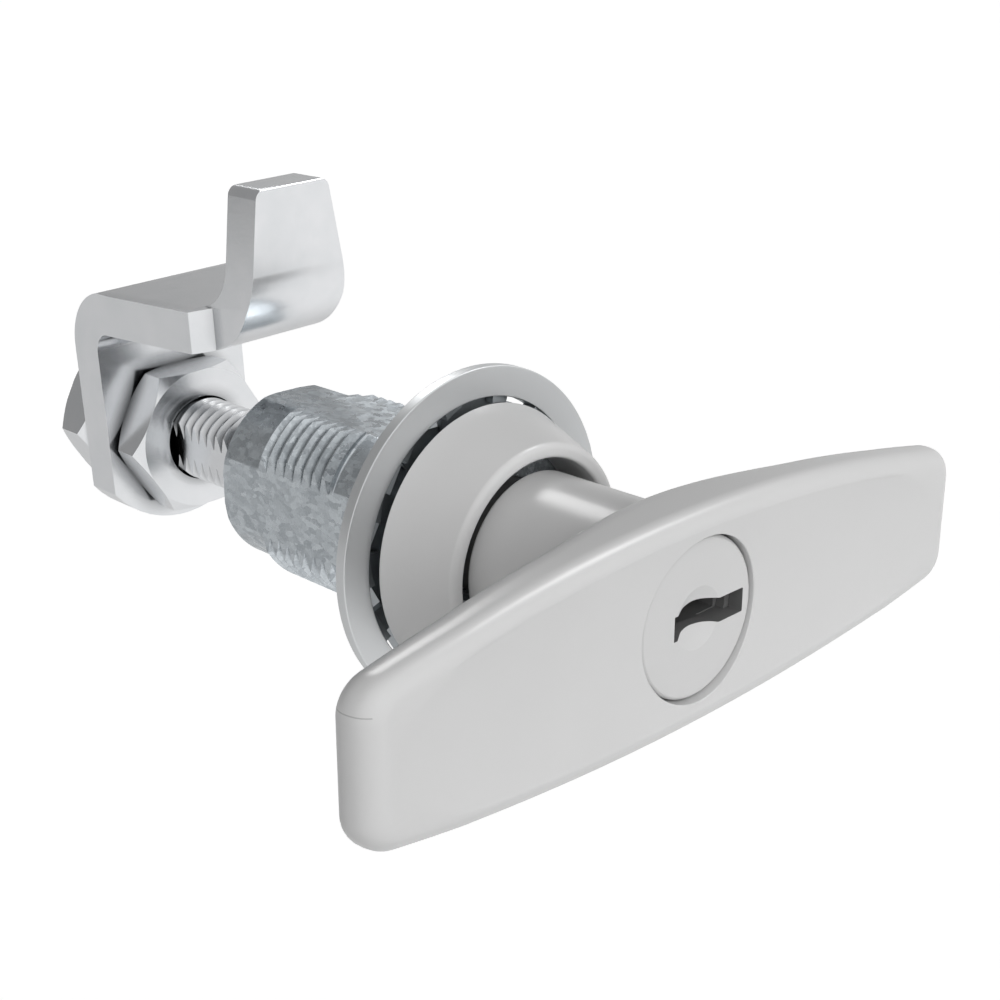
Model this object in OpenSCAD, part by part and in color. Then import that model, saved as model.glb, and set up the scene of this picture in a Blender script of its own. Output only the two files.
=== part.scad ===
// T-handle compression latch with a key lock, in millimetres.
// The axis of the latch is Y: the handle is towards -Y, the cam towards +Y, and +Z is up.
// The origin lies on the axis, in the plane where the bezel seats on the panel.
// It stands as latched: the grip lies level, the cam points up and the drawbar is pulled in.

/* [Bezel] */
// Radius of the bezel where it seats on the panel
bezel_seat_r = 14.4; // [14:0.1:14.7]
// Radius of the bezel at its front lip
bezel_lip_r = 11.85; // [11.6:0.05:12.5]
// Height of the bezel in front of the panel
bezel_h = 7.7; // [7.2:0.1:10]
// Radius of the open bore round the stem
bezel_bore_r = 10.4; // [10.2:0.1:10.9]
// Rounding of the front lip
bezel_lip_round = 0.5; // [0.2:0.1:0.6]

/* [Barrel] */
// Thickness of the barrel's flange, let into the back of the bezel
flange_t = 1.9; // [1.6:0.1:2.4]
// Radius of that flange
flange_r = 12.6; // [12.2:0.1:13]
// Width across the flats that key the barrel into the panel
barrel_af = 18.8; // [18.6:0.1:20]
// Radius over the crests of the barrel's thread
barrel_thread_r = 11; // [10.8:0.05:11.4]
// Pitch of the barrel's thread
barrel_pitch = 1.5; // [1:0.25:2]
// Depth of the barrel's thread
barrel_thread_depth = 0.85; // [0.5:0.05:0.9]
// Radius of the relief groove along the thread
relief_r = 10.3; // [10.1:0.05:10.5]
// Where the relief groove starts, behind the seat
relief_from = 9; // [8:0.1:10]
// Where the relief groove ends, behind the seat
relief_to = 12.85; // [11:0.05:14]
// Length of the barrel behind the seat
barrel_len = 32.15; // [31:0.05:40]
// Radius of the plain tail of the barrel
tail_r = 10.05; // [10:0.05:10.6]
// Length of that tail
tail_len = 6.65; // [4:0.05:8]
// Angle from the level at which the stop lug in the bezel begins, seen from the front
lug_from = 194; // [190:1:200]
// Angle that the stop lug spans
lug_span = 136; // [120:1:137]

/* [Panel nut] */
// Outer radius of the panel nut's ring
nut_ring_r = 18.05; // [17:0.05:20]
// Radius of the opening inside that ring
nut_ring_bore_r = 14.85; // [14.8:0.05:15.6]
// Thickness of that ring
nut_ring_t = 1.42; // [1.2:0.02:2]
// Gap between the seat and the ring, as it is screwed up without a panel
panel_gap = 0.93; // [0.6:0.01:6]
// How far the toothed web lies back from the ring's front
web_set_back = 1.12; // [1.1:0.02:1.3]
// Thickness of the toothed web
web_t = 0.7; // [0.5:0.05:1]
// Outer radius of the toothed web
web_r = 16; // [15.7:0.1:16.5]
// Number of teeth in the web
tooth_count = 14; // [8:1:18]
// Angle that one tooth spans
tooth_span = 12; // [8:1:14]
// Angle at which the first tooth begins
tooth_from = 18.3; // [0:0.1:25]
// Width across the flats of the panel nut's hub
hub_af = 25; // [24:0.1:25.4]
// Length of that hub
hub_len = 3.2; // [2:0.1:3.5]

/* [Panel gasket] */
// Inner radius of the gasket in the back of the flange
gasket_r0 = 11; // [10.8:0.05:11.2]
// Outer radius of the gasket
gasket_r1 = 12; // [11.8:0.05:12.1]
// Thickness of the gasket
gasket_t = 1; // [0.6:0.1:1.2]

/* [Grip] */
// Length of the grip's front
grip_len = 81.8; // [60:0.1:100]
// Height of the grip's front at its middle
grip_h = 20.8; // [20:0.1:26]
// Height of the grip's front at its ends
grip_end_h = 14.2; // [10:0.1:18]
// Thickness of the grip at its middle, before its swell
grip_t = 7.9; // [7.5:0.1:12]
// How much the back of the grip swells round the stem
grip_swell = 1.35; // [0:0.05:2]
// Thickness of the grip at its ends
grip_end_t = 4.7; // [4.2:0.1:6.5]
// Distance from the seat to the front of the grip
grip_front = 29.6; // [28.5:0.1:40]
// Rounding of the grip's front edges
grip_front_round = 1.85; // [1:0.05:2.2]
// Rounding of the grip's back edges
grip_back_round = 3.3; // [1.5:0.1:3.4]
// Rounding of the grip's corners, seen from the front
grip_corner = 3.3; // [2.4:0.1:5]
// How much further the back of the grip's long sides stands out than their front
side_draft = 0.5; // [0:0.1:1]
// How much further the back of the grip's ends stands out than their front
end_draft = 0.8; // [0:0.1:1.5]

/* [Stem] */
// Radius of the stem
stem_r = 9; // [8.8:0.05:9.6]
// How far the stem dips into the bezel
stem_dip = 1.1; // [0.8:0.1:1.6]
// Radius of the neck that turns in the barrel
neck_r = 7.2; // [7:0.05:7.4]
// Length of the neck's ear between its stops
ear_span = 40; // [30:1:41]
// Radius over that ear
ear_r = 10; // [9:0.1:10.1]

/* [Lock] */
// Radius of the lock plug's face
plug_face_r = 7.9; // [7.2:0.05:8]
// Distance from the seat to the lock plug's face
plug_face_y = 27.7; // [27:0.1:28]
// Thickness of the lock plug's head
plug_head_t = 1.6; // [1:0.1:1.8]
// Radius of the counterbore round that head
plug_rim_r = 8.2; // [8.1:0.05:8.6]
// Radius of the lock plug's body
plug_r = 5.95; // [5.7:0.05:6.2]
// Radius of the shallow dish in the lock plug's face
dish_r = 3; // [2.4:0.1:3.4]
// Depth of that dish
dish_depth = 0.6; // [0.3:0.05:0.8]
// Short reach of the keyway from the axis
keyway_x0 = 3.4; // [3:0.05:3.6]
// Long reach of the keyway's mouth from the axis
keyway_x1 = 6.65; // [5:0.05:6.8]
// Height of the keyway
keyway_h = 2.4; // [1.6:0.1:2.6]
// Reach of the keyway from the axis inside the plug
keyway_in_x1 = 4; // [3.6:0.1:4.2]
// Number of wafers
wafer_count = 5; // [3:1:5]
// Thickness of one wafer
wafer_t = 0.8; // [0.6:0.05:1]
// Distance from one wafer to the next
wafer_pitch = 1.9; // [1.6:0.1:2]
// Radius of the pin that keeps the plug in the stem
keeper_r = 0.8; // [0.6:0.05:0.9]
// Depth of the groove that this pin runs in
keeper_groove = 0.95; // [0.7:0.05:1]
// Width of the square tang on the plug's tail
tang_w = 3; // [2.4:0.1:3.6]
// Thickness of the disc on that tang
tail_disc_t = 1.9; // [1.4:0.1:2.2]
// Radius of the lock pin on that disc
lock_pin_r = 0.9; // [0.7:0.05:1]
// Travel of the lock bolt
bolt_throw = 2.2; // [1.6:0.1:2.3]
// Width of the lock bolt
bolt_w = 6.4; // [6:0.1:6.6]
// Thickness of the lock bolt
bolt_t = 2.4; // [1.8:0.1:2.6]

/* [Driver] */
// Radius of the driver's spigot in the neck
spigot_r = 4.9; // [4.6:0.05:5]
// Half of the width across that spigot's flats
spigot_flat = 4.2; // [3.9:0.05:4.4]
// Length of that spigot
spigot_len = 5.8; // [5.5:0.1:7]
// Outer radius of the driver's tube
driver_r = 6.1; // [5.8:0.05:6.2]
// Radius of the driver's bore
driver_bore_r = 4.25; // [4.2:0.05:4.5]
// Radius of the pocket for the return spring
spring_pocket_r = 3.3; // [3:0.1:3.5]
// Radius of the driver's screw
screw_r = 1.5; // [1.25:0.05:1.6]
// Radius of that screw's head
screw_head_r = 2.75; // [2.4:0.05:2.8]
// Height of that screw's head
screw_head_h = 2.4; // [1.8:0.1:2.6]
// Thickness of the neck's wall under the screw's head
screw_wall = 1.5; // [1:0.1:2]
// Section radius of the stem's sealing ring
seal_ring_r = 0.62; // [0.5:0.02:0.66]
// Thickness of the ring that holds the driver in the sleeve
driver_ring_t = 0.9; // [0.6:0.05:1]
// Outer radius of that ring
driver_ring_r = 6.85; // [6.5:0.05:6.9]
// Depth of the groove that this ring sits in
driver_ring_groove = 0.6; // [0.4:0.05:0.8]
// Distance from the sleeve's front to the slots for the cross pin
slot_set_back = 3.2; // [2.6:0.1:4]
// Distance from the neck's rear end to the groove of the sealing ring
seal_set_back = 3.7; // [3:0.1:4]

/* [Sleeve] */
// Outer radius of the guide sleeve
sleeve_r = 7.85; // [7.8:0.05:8.1]
// Radius of the sleeve's rear counterbore
sleeve_rear_r = 7.05; // [6.95:0.05:7.1]
// Thickness of the guide plate behind the sleeve
plate_t = 2.45; // [2:0.05:3]
// Width of the two tabs that key the guide plate to the sleeve
tab_w = 3.6; // [2.5:0.1:4.5]
// Length of these tabs
tab_len = 2; // [1.4:0.1:2.6]
// Thickness of the rear retaining ring
clip_t = 1; // [0.8:0.05:1.2]
// Depth of that ring's groove in the barrel
clip_groove = 0.55; // [0.4:0.05:0.6]
// Width of that ring's band
clip_band = 1.6; // [1.2:0.1:2]
// Radius of that ring's ears
clip_ear_r = 1.2; // [0.9:0.1:1.4]

/* [Drawbar] */
// Travel of the drawbar as the handle turns a quarter turn
draw_travel = 6; // [4:0.5:7]
// Angle at which the drawbar stands turned at rest
rest_turn = 2.5; // [0:0.5:5]
// Radius over the crests of the stud's thread
stud_r = 5; // [4.8:0.05:5.2]
// Pitch of the stud's thread
stud_pitch = 1.5; // [1:0.25:1.75]
// Depth of the stud's thread
stud_thread_depth = 0.85; // [0.5:0.05:0.9]
// Half of the width across the stud's flats
stud_flat = 4; // [3.8:0.05:4.2]
// Radius of the stud's nose inside the driver
nose_r = 4.2; // [4.1:0.01:4.22]
// Radius of the cross pin
cross_pin_r = 1.5; // [1.2:0.05:1.6]
// Length of the cross pin
cross_pin_len = 15; // [14:0.1:15.4]
// Length of the return spring at rest
spring_rest_len = 4.2; // [3.6:0.1:5]
// Radius over the return spring
spring_r = 3; // [2.7:0.05:3.05]
// Radius of the return spring's wire
spring_wire_r = 0.4; // [0.3:0.05:0.5]

/* [Nuts and washer] */
// Width across the flats of the nuts
nut_af = 17; // [16:0.1:18]
// Thickness of the front nut
front_nut_t = 5.15; // [4.8:0.05:6]
// Thickness of the rear nut
rear_nut_t = 5.6; // [4.8:0.05:7]
// Radius of the chamfer circle on the nuts' faces
nut_face_r = 8.6; // [7.6:0.05:8.9]
// Height of that chamfer
nut_chamfer = 1.1; // [0.6:0.05:1.4]
// Outer radius of the split washer
washer_r = 8.4; // [7.8:0.05:9]
// Thickness of the split washer
washer_t = 2.2; // [1.6:0.1:2.6]
// Width of the washer's split
washer_split = 1.2; // [0.8:0.1:2]
// Angle at which the split stands
washer_split_at = 40; // [0:5:355]
// How far the stud reaches past the rear nut
stud_end = 2; // [1:0.1:4]

/* [Cam] */
// Distance from the seat to the front of the cam's base
cam_y = 54.05; // [52:0.05:70]
// Thickness of the cam's plate
cam_t = 4.9; // [4:0.1:5.2]
// Distance from the cam's base back to its contact face
cam_reach = 26.4; // [22:0.1:27.5]
// Half of the width of the cam's base
cam_half_w = 10.3; // [9.8:0.1:12]
// Radius of the lower end of the cam's base
cam_end_r = 12.6; // [12.2:0.1:14]
// Height of that arc's centre above the axis
cam_end_z = 1.4; // [0:0.1:2]
// Height of the arm's underside above the axis, at the base
arm_z = 14.65; // [14:0.05:18]
// Rise of the arm's underside towards the tab
arm_rise = 0.5; // [0:0.05:1.5]
// Inner radius of the bend at the base
base_bend_r = 2.6; // [1.5:0.1:4]
// Inner radius of the bend at the tab
tab_bend_r = 4.35; // [2.5:0.05:5]
// Half of the width of the arm where it meets the tab
arm_half_w = 8.95; // [7.5:0.05:9.6]
// Half of the width of the tab at its foot
tab_foot_w = 6.8; // [5.5:0.1:7.2]
// Half of the width of the tab at its top
tab_top_w = 4.8; // [3.5:0.1:5.4]
// Height of the tab's top above the axis
tab_top_z = 33.5; // [30:0.1:40]
// Rounding of the tab's top corners
tab_corner = 1.1; // [0.5:0.1:2]

/* [Clearances] */
// Radial running clearance of what turns or slides
run = 0.05; // [0.03:0.01:0.08]
// Radial clearance of what is pressed or screwed together
seat_fit = 0.02; // [0.01:0.01:0.04]
// Gap between pieces that pass without touching
gap = 0.3; // [0.25:0.05:0.4]

/* [Hidden] */
$fn = 96;

paint = [0.80, 0.80, 0.80];
galvanised = [0.60, 0.63, 0.65];
zinc_plate = [0.78, 0.79, 0.80];
steel = [0.62, 0.62, 0.64];
brass = [0.78, 0.66, 0.38];
rubber = [0.10, 0.10, 0.10];
far = 100;
bar_steps = 8;
ball_fn = 24;
// Share of the grip's thickness, past its front rounding, that its back rounding may take
edge_share = 0.86;
// How far joined solids reach into each other
lap = 0.5;
// Metal left at the ends of slots, grooves and noses
end_wall = 0.9;
// Distance from the plug's rear end to its keeper pin
keeper_set_back = 3.4;
// Small chamfer on the end of the barrel
end_chamfer = 0.5;
// Ends of the retaining ring's gap, and its two ears beside them
clip_from = -70;
clip_to = 250;
clip_ears = [-64, 244];

// Places along the axis, from the stem's end to the rear
stem_y = -(bezel_h - stem_dip);
slot_y0 = stem_y + gap / 2;
bolt_y0 = slot_y0 + gap / 2;
bolt_y1 = bolt_y0 + bolt_t;
slot_y1 = bolt_y1 + gap / 2;
screw_y0 = slot_y1 + seat_fit;
wall_y0 = screw_y0 + screw_head_h + seat_fit;
spigot_y0 = wall_y0 + screw_wall;
neck_y1 = spigot_y0 + spigot_len;
tube_y0 = neck_y1 + seat_fit;
step_y = neck_y1 + gap;
sleeve_y0 = step_y + run;
pin_y = sleeve_y0 + cross_pin_r + run + slot_set_back;
nose_y = pin_y - cross_pin_r - end_wall;
pocket_y = nose_y - spring_rest_len;
shoulder_y = pin_y + draw_travel + cross_pin_r + run + end_wall;
driver_ring_y = shoulder_y + run;
driver_y1 = driver_ring_y + driver_ring_t + end_wall;
clip_y = barrel_len - clip_t - end_wall;
plate_y = clip_y - plate_t - run;
sleeve_y1 = plate_y - run;
flats_y = plate_y - draw_travel - 1;
shank_y = driver_y1 + gap;
nut_y = cam_y - front_nut_t;
washer_y = cam_y + cam_t;
rear_nut_y = washer_y + washer_t;
stud_y1 = rear_nut_y + rear_nut_t + stud_end;
tab_y = cam_y - cam_reach;

// Places in the lock, from its face to the tail
plug_seat_y = -(plug_face_y - plug_head_t);
disc_y1 = slot_y0 - gap / 3;
disc_y0 = disc_y1 - tail_disc_t;
plug_y1 = disc_y0 - run;
tang_y = disc_y0 + tail_disc_t / 2;
keeper_y = plug_y1 - keeper_set_back;
wafer_y = plug_seat_y + 3;
lock_crank = bolt_throw / (2 * sin(45));

// Radii that follow from a fit
neck_bore_r = neck_r + run;
sleeve_bore_r = sleeve_r + run;
lug_r = neck_r + gap;
plug_bore_r = plug_r + run;
seal_r = neck_bore_r - run / 2 - seal_ring_r;
tooth_pitch = 360 / tooth_count;
nut_front = panel_gap;
nut_web_y = nut_front + web_set_back;
ring_groove_r = driver_r - driver_ring_groove;
seal_y0 = neck_y1 - seal_set_back;
seal_y1 = seal_y0 + 2 * seal_ring_r + 2 * gap;
keeper_x = plug_r - keeper_groove + keeper_r;

// Points of an arc, from angle a0 to angle a1
function arc(cx, cy, r, a0, a1, n = 8) =
    [for (i = [0 : n]) [cx + r * cos(a0 + (a1 - a0) * i / n), cy + r * sin(a0 + (a1 - a0) * i / n)]];

// Profile of a row of thread ridges between two places, from the root radius outwards
function ridges(y0, y1, crest, depth, pitch) =
    let (n = floor((y1 - y0) / pitch), land = pitch / 8, flank = (pitch - 2 * land) / 2)
    [for (i = [0 : n - 1]) let (y = y0 + i * pitch)
        each [[crest - depth, y], [crest, y + flank], [crest, y + flank + land],
              [crest - depth, y + pitch - land]]];

// Turns a profile of radius and place about the latch's axis
module turned() {
    rotate([-90, 0, 0]) rotate_extrude() children();
}

// Turns a profile through the angles a0 to a1, measured from +X towards +Z
module turned_sector(a0, a1) {
    rotate([-90, 0, 0]) rotate([0, 0, -a1]) rotate_extrude(angle = a1 - a0) children();
}

// Turns what it holds about the latch's axis, from +X towards +Z
module at_angle(a) {
    rotate([0, -a, 0]) children();
}

// Solid rod on the axis between two places
module rod(y0, y1, r) {
    translate([0, y0, 0]) rotate([-90, 0, 0]) cylinder(h = y1 - y0, r = r);
}

// Tube on the axis between two places
module tube(y0, y1, r1, r0) {
    difference() {
        rod(y0, y1, r1);
        rod(y0 - 1, y1 + 1, r0);
    }
}

// Slab centred on the axis, of full widths wx and wz
module slab(y0, y1, wx, wz) {
    translate([-wx / 2, y0, -wz / 2]) cube([wx, y1 - y0, wz]);
}

// Rod across the axis at a place, along Z
module cross_rod(y, r, z0, z1) {
    translate([0, y, z0]) cylinder(h = z1 - z0, r = r);
}

// Rod with two flats that face +X and -X
module flatted_rod(y0, y1, r, flat) {
    intersection() {
        rod(y0, y1, r);
        slab(y0 - 1, y1 + 1, 2 * flat, far);
    }
}

module bezel() {
    lip_y = -bezel_h;
    color(paint) difference() {
        turned() polygon(concat(
            [[bezel_bore_r, lip_y + bezel_lip_round]],
            arc(bezel_bore_r + bezel_lip_round, lip_y + bezel_lip_round, bezel_lip_round, 180, 270, 4),
            arc(bezel_lip_r - bezel_lip_round, lip_y + bezel_lip_round, bezel_lip_round, 270, 342, 4),
            [[bezel_seat_r, 0], [bezel_bore_r, 0]]));
        rod(-flange_t, 1, flange_r);
    }
}

module stop_lug() {
    difference() {
        turned_sector(lug_from, lug_from + lug_span)
            translate([lug_r, slot_y0 + gap])
                square([bezel_bore_r - seat_fit - lug_r, -slot_y0 - gap - flange_t + lap]);
        translate([-bolt_w / 2 - gap, slot_y0 - 1, -neck_r - bolt_throw - gap])
            cube([bolt_w + 2 * gap, slot_y1 - slot_y0 + 1 + gap, bolt_throw + gap + 1]);
    }
}

module barrel_shank() {
    root_r = barrel_thread_r - barrel_thread_depth;
    thread_y1 = barrel_len - tail_len;
    intersection() {
        turned() polygon(concat(
            [[0, -lap], [relief_r, -lap], [relief_r, end_wall]],
            ridges(1, relief_from, barrel_thread_r, barrel_thread_depth, barrel_pitch),
            [[root_r, relief_from], [relief_r, relief_from + 0.2], [relief_r, relief_to]],
            ridges(relief_to + 0.3, thread_y1, barrel_thread_r, barrel_thread_depth, barrel_pitch),
            [[root_r, thread_y1], [tail_r, thread_y1 + 0.2],
             [tail_r, barrel_len - end_chamfer], [tail_r - end_chamfer, barrel_len], [0, barrel_len]]));
        slab(-1, barrel_len + 1, barrel_af, barrel_af);
    }
}

module barrel() {
    color(galvanised) difference() {
        union() {
            rod(-flange_t, 0, flange_r - seat_fit);
            stop_lug();
            barrel_shank();
        }
        rod(-flange_t - 1, step_y + 1, neck_bore_r);
        rod(step_y, barrel_len + 1, sleeve_bore_r);
        rod(clip_y, clip_y + clip_t + run, sleeve_bore_r + clip_groove);
        tube(-gasket_t, 1, gasket_r1, gasket_r0);
    }
}

module panel_gasket() {
    color(rubber) tube(-gasket_t + seat_fit, 0, gasket_r1 - seat_fit, gasket_r0 + seat_fit);
}

module panel_nut() {
    hub_r = hub_af / 2;
    color(zinc_plate) difference() {
        union() {
            tube(nut_front, nut_front + nut_ring_t, nut_ring_r, nut_ring_bore_r);
            rod(nut_web_y, nut_web_y + web_t, web_r);
            translate([0, nut_web_y, 0]) rotate([-90, 30, 0])
                cylinder(h = web_t + hub_len, r = hub_r / cos(30), $fn = 6);
        }
        for (i = [0 : tooth_count - 1])
            turned_sector(tooth_from + i * tooth_pitch + tooth_span, tooth_from + (i + 1) * tooth_pitch)
                translate([hub_r / cos(30) + 0.02, nut_web_y - 1])
                    square([nut_ring_bore_r - hub_r / cos(30) - 0.02, web_t + 2]);
        rod(0, far, barrel_thread_r + run);
    }
}

module rear_clip() {
    clip_r = sleeve_bore_r + clip_groove - run;
    color(steel) difference() {
        union() {
            turned_sector(clip_from, clip_to)
                translate([clip_r - clip_band, clip_y + run / 2]) square([clip_band, clip_t]);
            for (a = clip_ears)
                at_angle(a) translate([clip_r - clip_band, clip_y + run / 2, 0])
                    rotate([-90, 0, 0]) cylinder(h = clip_t, r = clip_ear_r);
        }
        for (a = clip_ears)
            at_angle(a) translate([clip_r - clip_band, 0, 0])
                rotate([-90, 0, 0]) cylinder(h = far, r = clip_ear_r / 2);
    }
}

module guide_sleeve() {
    slot_r = cross_pin_r + run;
    color(steel) at_angle(rest_turn) difference() {
        rod(sleeve_y0, sleeve_y1, sleeve_r);
        rod(sleeve_y0 - 1, sleeve_y1 + 1, driver_r + run);
        rod(shoulder_y, sleeve_y1 + 1, sleeve_rear_r);
        cross_rod(pin_y, slot_r, -far, far);
        cross_rod(pin_y + draw_travel, slot_r, -far, far);
        slab(pin_y, pin_y + draw_travel, 2 * slot_r, far);
        slab(sleeve_y1 - tab_len - run, sleeve_y1 + 1, far, tab_w + 2 * run);
    }
}

module guide_plate() {
    color(steel) at_angle(rest_turn) difference() {
        union() {
            rod(plate_y, plate_y + plate_t, sleeve_r);
            intersection() {
                tube(sleeve_y1 - tab_len, plate_y + 1, sleeve_r, sleeve_rear_r + run);
                slab(0, far, far, tab_w);
            }
        }
        flatted_rod(0, far, stud_r + run, stud_flat + run);
    }
}

// Half height and thickness of the grip at a place along it, and the rounding of its back edge there
function grip_half(x) = (grip_h - (grip_h - grip_end_h) * pow(2 * x / grip_len, 2)) / 2;
function grip_thick(x) = grip_t - (grip_t - grip_end_t) * pow(2 * x / grip_len, 2)
    + grip_swell * pow(max(1 - pow(x / (2 * stem_r), 2), 0), 2);
function grip_back_edge(x) = min(grip_back_round, (grip_thick(x) - grip_front_round) * edge_share);

// Ball in the grip's edge, its place given by the outline's point and the way outwards there
module edge_ball(x, z, out_x, out_z, back) {
    r = back ? grip_back_edge(x) : grip_front_round;
    draft = back ? [end_draft * out_x * out_x, side_draft * out_z * out_z] : [0, 0];
    y = back ? grip_thick(x) - grip_front - r : r - grip_front;
    for (end = [-1, 1], side = [-1, 1])
        translate([end * (x + draft[0] - r * out_x), y, side * (z + draft[1] - r * out_z)])
            sphere(r = r, $fn = ball_fn);
}

module grip_bar() {
    straight = grip_len / 2 - grip_corner;
    corner_z = grip_half(straight) - grip_corner;
    hull() for (back = [false, true]) {
        for (i = [0 : bar_steps])
            edge_ball(straight * i / bar_steps, grip_half(straight * i / bar_steps), 0, 1, back);
        for (a = [0, 30, 60])
            edge_ball(straight + grip_corner * cos(a), corner_z + grip_corner * sin(a), cos(a), sin(a), back);
    }
}

module handle() {
    color(paint) difference() {
        union() {
            grip_bar();
            rod(-grip_front + grip_t / 2, stem_y, stem_r);
            rod(stem_y - 1, neck_y1, neck_r);
            turned_sector(lug_from - ear_span - 182, lug_from - 182)
                translate([neck_r - 1, stem_y - lap]) square([ear_r - neck_r + 1, -stem_y + lap - flange_t - gap]);
        }
        rod(-grip_front - 1, plug_seat_y, plug_rim_r);
        rod(-grip_front, slot_y0 + 0.1, plug_bore_r);
        translate([-bolt_w / 2 - run, slot_y0, -far])
            cube([bolt_w + 2 * run, slot_y1 - slot_y0, far + plug_r]);
        rod(slot_y0 - 1, wall_y0, screw_head_r + run);
        rod(slot_y0, spigot_y0 + 1, screw_r + run);
        intersection() {
            rod(spigot_y0, neck_y1 + 1, spigot_r + seat_fit);
            slab(0, far, far, 2 * (spigot_flat + seat_fit));
        }
        tube(seal_y0, seal_y1, neck_r + 1, seal_r - seal_ring_r - seat_fit);
        translate([keeper_x, keeper_y, -stem_r]) cylinder(h = stem_r + 3, r = keeper_r + seat_fit);
    }
}

module stem_seal() {
    color(rubber) turned() translate([seal_r, (seal_y0 + seal_y1) / 2]) circle(r = seal_ring_r, $fn = 32);
}

module driver() {
    slot_steps = 14;
    color(steel) difference() {
        union() {
            intersection() {
                rod(spigot_y0 + run, tube_y0 + 1, spigot_r);
                slab(0, far, far, 2 * spigot_flat);
            }
            rod(tube_y0, driver_y1, driver_r);
        }
        rod(0, pocket_y - 0.4, screw_r + seat_fit);
        rod(pocket_y, tube_y0 + 0.6, spring_pocket_r);
        rod(tube_y0 + 0.6, driver_y1 + 1, driver_bore_r);
        for (i = [0 : slot_steps])
            at_angle(rest_turn - 90 * i / slot_steps)
                cross_rod(pin_y + draw_travel * i / slot_steps, cross_pin_r + 0.15, -far, far);
        tube(driver_ring_y, driver_ring_y + driver_ring_t + run, far, ring_groove_r);
    }
}

module driver_screw() {
    color(steel) difference() {
        union() {
            rod(screw_y0, screw_y0 + screw_head_h, screw_head_r);
            rod(screw_y0 + 1, pocket_y - 0.6, screw_r);
        }
        translate([0, screw_y0 - 1, 0]) rotate([-90, 0, 0]) cylinder(h = 2.3, r = screw_r * 0.9, $fn = 6);
    }
}

module driver_ring() {
    color(steel) turned_sector(-60, 240)
        translate([ring_groove_r + seat_fit, driver_ring_y + run / 2])
            square([driver_ring_r - ring_groove_r - seat_fit, driver_ring_t]);
}

module plug_keeper_pin() {
    color(steel) translate([keeper_x, keeper_y, -stem_r + 2.4])
        cylinder(h = stem_r + 0.4, r = keeper_r);
}

module lock_plug() {
    dish_sphere = (dish_r * dish_r + dish_depth * dish_depth) / (2 * dish_depth);
    color(paint) difference() {
        union() {
            rod(-plug_face_y, plug_seat_y - run, plug_face_r);
            rod(plug_seat_y - run - 0.5, plug_y1, plug_r);
            slab(plug_y1 - 1, tang_y - seat_fit, tang_w, tang_w);
        }
        translate([0, -plug_face_y - dish_sphere + dish_depth, 0]) sphere(r = dish_sphere);
        translate([-keyway_x0, -plug_face_y - 1, -keyway_h / 2])
            cube([keyway_x0 + keyway_x1, plug_head_t + 0.9, keyway_h]);
        translate([-keyway_x0, -plug_face_y - 1, -keyway_h / 2])
            cube([keyway_x0 + keyway_in_x1, plug_face_y + keeper_y - 0.6, keyway_h]);
        for (i = [0 : wafer_count - 1])
            translate([-keyway_x0 - 0.6, wafer_y + i * wafer_pitch - run, -far / 2])
                cube([keyway_x0 + keyway_in_x1 + 1.2, wafer_t + 2 * run, far]);
        tube(keeper_y - keeper_r - run, keeper_y + keeper_r + run, far, plug_r - keeper_groove);
    }
}

module plug_wafers() {
    color(brass) for (i = [0 : wafer_count - 1]) {
        y = wafer_y + i * wafer_pitch;
        difference() {
            intersection() {
                rod(y, y + wafer_t, plug_r - run);
                translate([-keyway_x0 - 0.6 + run, 0, 0])
                    translate([0, -far, -far / 2]) cube([keyway_x0 + keyway_in_x1 + 1.2 - 2 * run, far, far]);
            }
            translate([-keyway_x0, -far, -keyway_h / 2]) cube([keyway_x0 + keyway_in_x1, far, keyway_h]);
        }
    }
}

module plug_tail_disc() {
    color(zinc_plate) {
        difference() {
            rod(disc_y0, disc_y1, plug_r - gap + run);
            slab(disc_y0 - 1, tang_y, tang_w + 2 * seat_fit, tang_w + 2 * seat_fit);
        }
        at_angle(45) translate([lock_crank, disc_y1 - 0.5, 0]) rotate([-90, 0, 0])
            cylinder(h = bolt_y1 - 0.2 - disc_y1 + 0.5, r = lock_pin_r);
    }
}

module lock_bolt() {
    slot_r = lock_pin_r + 0.2;
    slot_z = lock_crank * sin(45);
    color(zinc_plate) difference() {
        intersection() {
            translate([-bolt_w / 2, bolt_y0, -far]) cube([bolt_w, bolt_t, far + plug_r - lap]);
            rod(bolt_y0 - 1, bolt_y1 + 1, neck_r - run);
        }
        for (x = [lock_crank * cos(45) - 0.1, lock_crank + 0.1])
            translate([x, 0, slot_z]) rotate([90, 0, 0]) cylinder(h = far, r = slot_r);
        translate([lock_crank * cos(45) - 0.1, -far, slot_z - slot_r])
            cube([lock_crank * (1 - cos(45)) + 0.2, far, 2 * slot_r]);
    }
}

module draw_stud() {
    thread_y0 = barrel_len + 1.5;
    root_r = stud_r - stud_thread_depth;
    color(zinc_plate) at_angle(rest_turn) difference() {
        union() {
            rod(nose_y, shank_y + 1, nose_r);
            turned() polygon(concat(
                [[0, shank_y], [stud_r - 0.3, shank_y], [stud_r, shank_y + 0.3], [stud_r, thread_y0 - 0.3]],
                ridges(thread_y0, stud_y1 - 0.5, stud_r, stud_thread_depth, stud_pitch),
                [[root_r, stud_y1 - 0.4], [root_r - 0.3, stud_y1], [0, stud_y1]]));
        }
        for (side = [-1, 1])
            translate([side * (stud_flat + far / 2), flats_y + far / 2, 0]) cube(far, center = true);
        cross_rod(pin_y, cross_pin_r + seat_fit, -far, far);
    }
}

module cross_pin() {
    color(steel) at_angle(rest_turn) cross_rod(pin_y, cross_pin_r, -cross_pin_len / 2, cross_pin_len / 2);
}

module return_spring() {
    color(steel) tube(pocket_y, nose_y, spring_r, spring_r - 2 * spring_wire_r);
}

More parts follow.
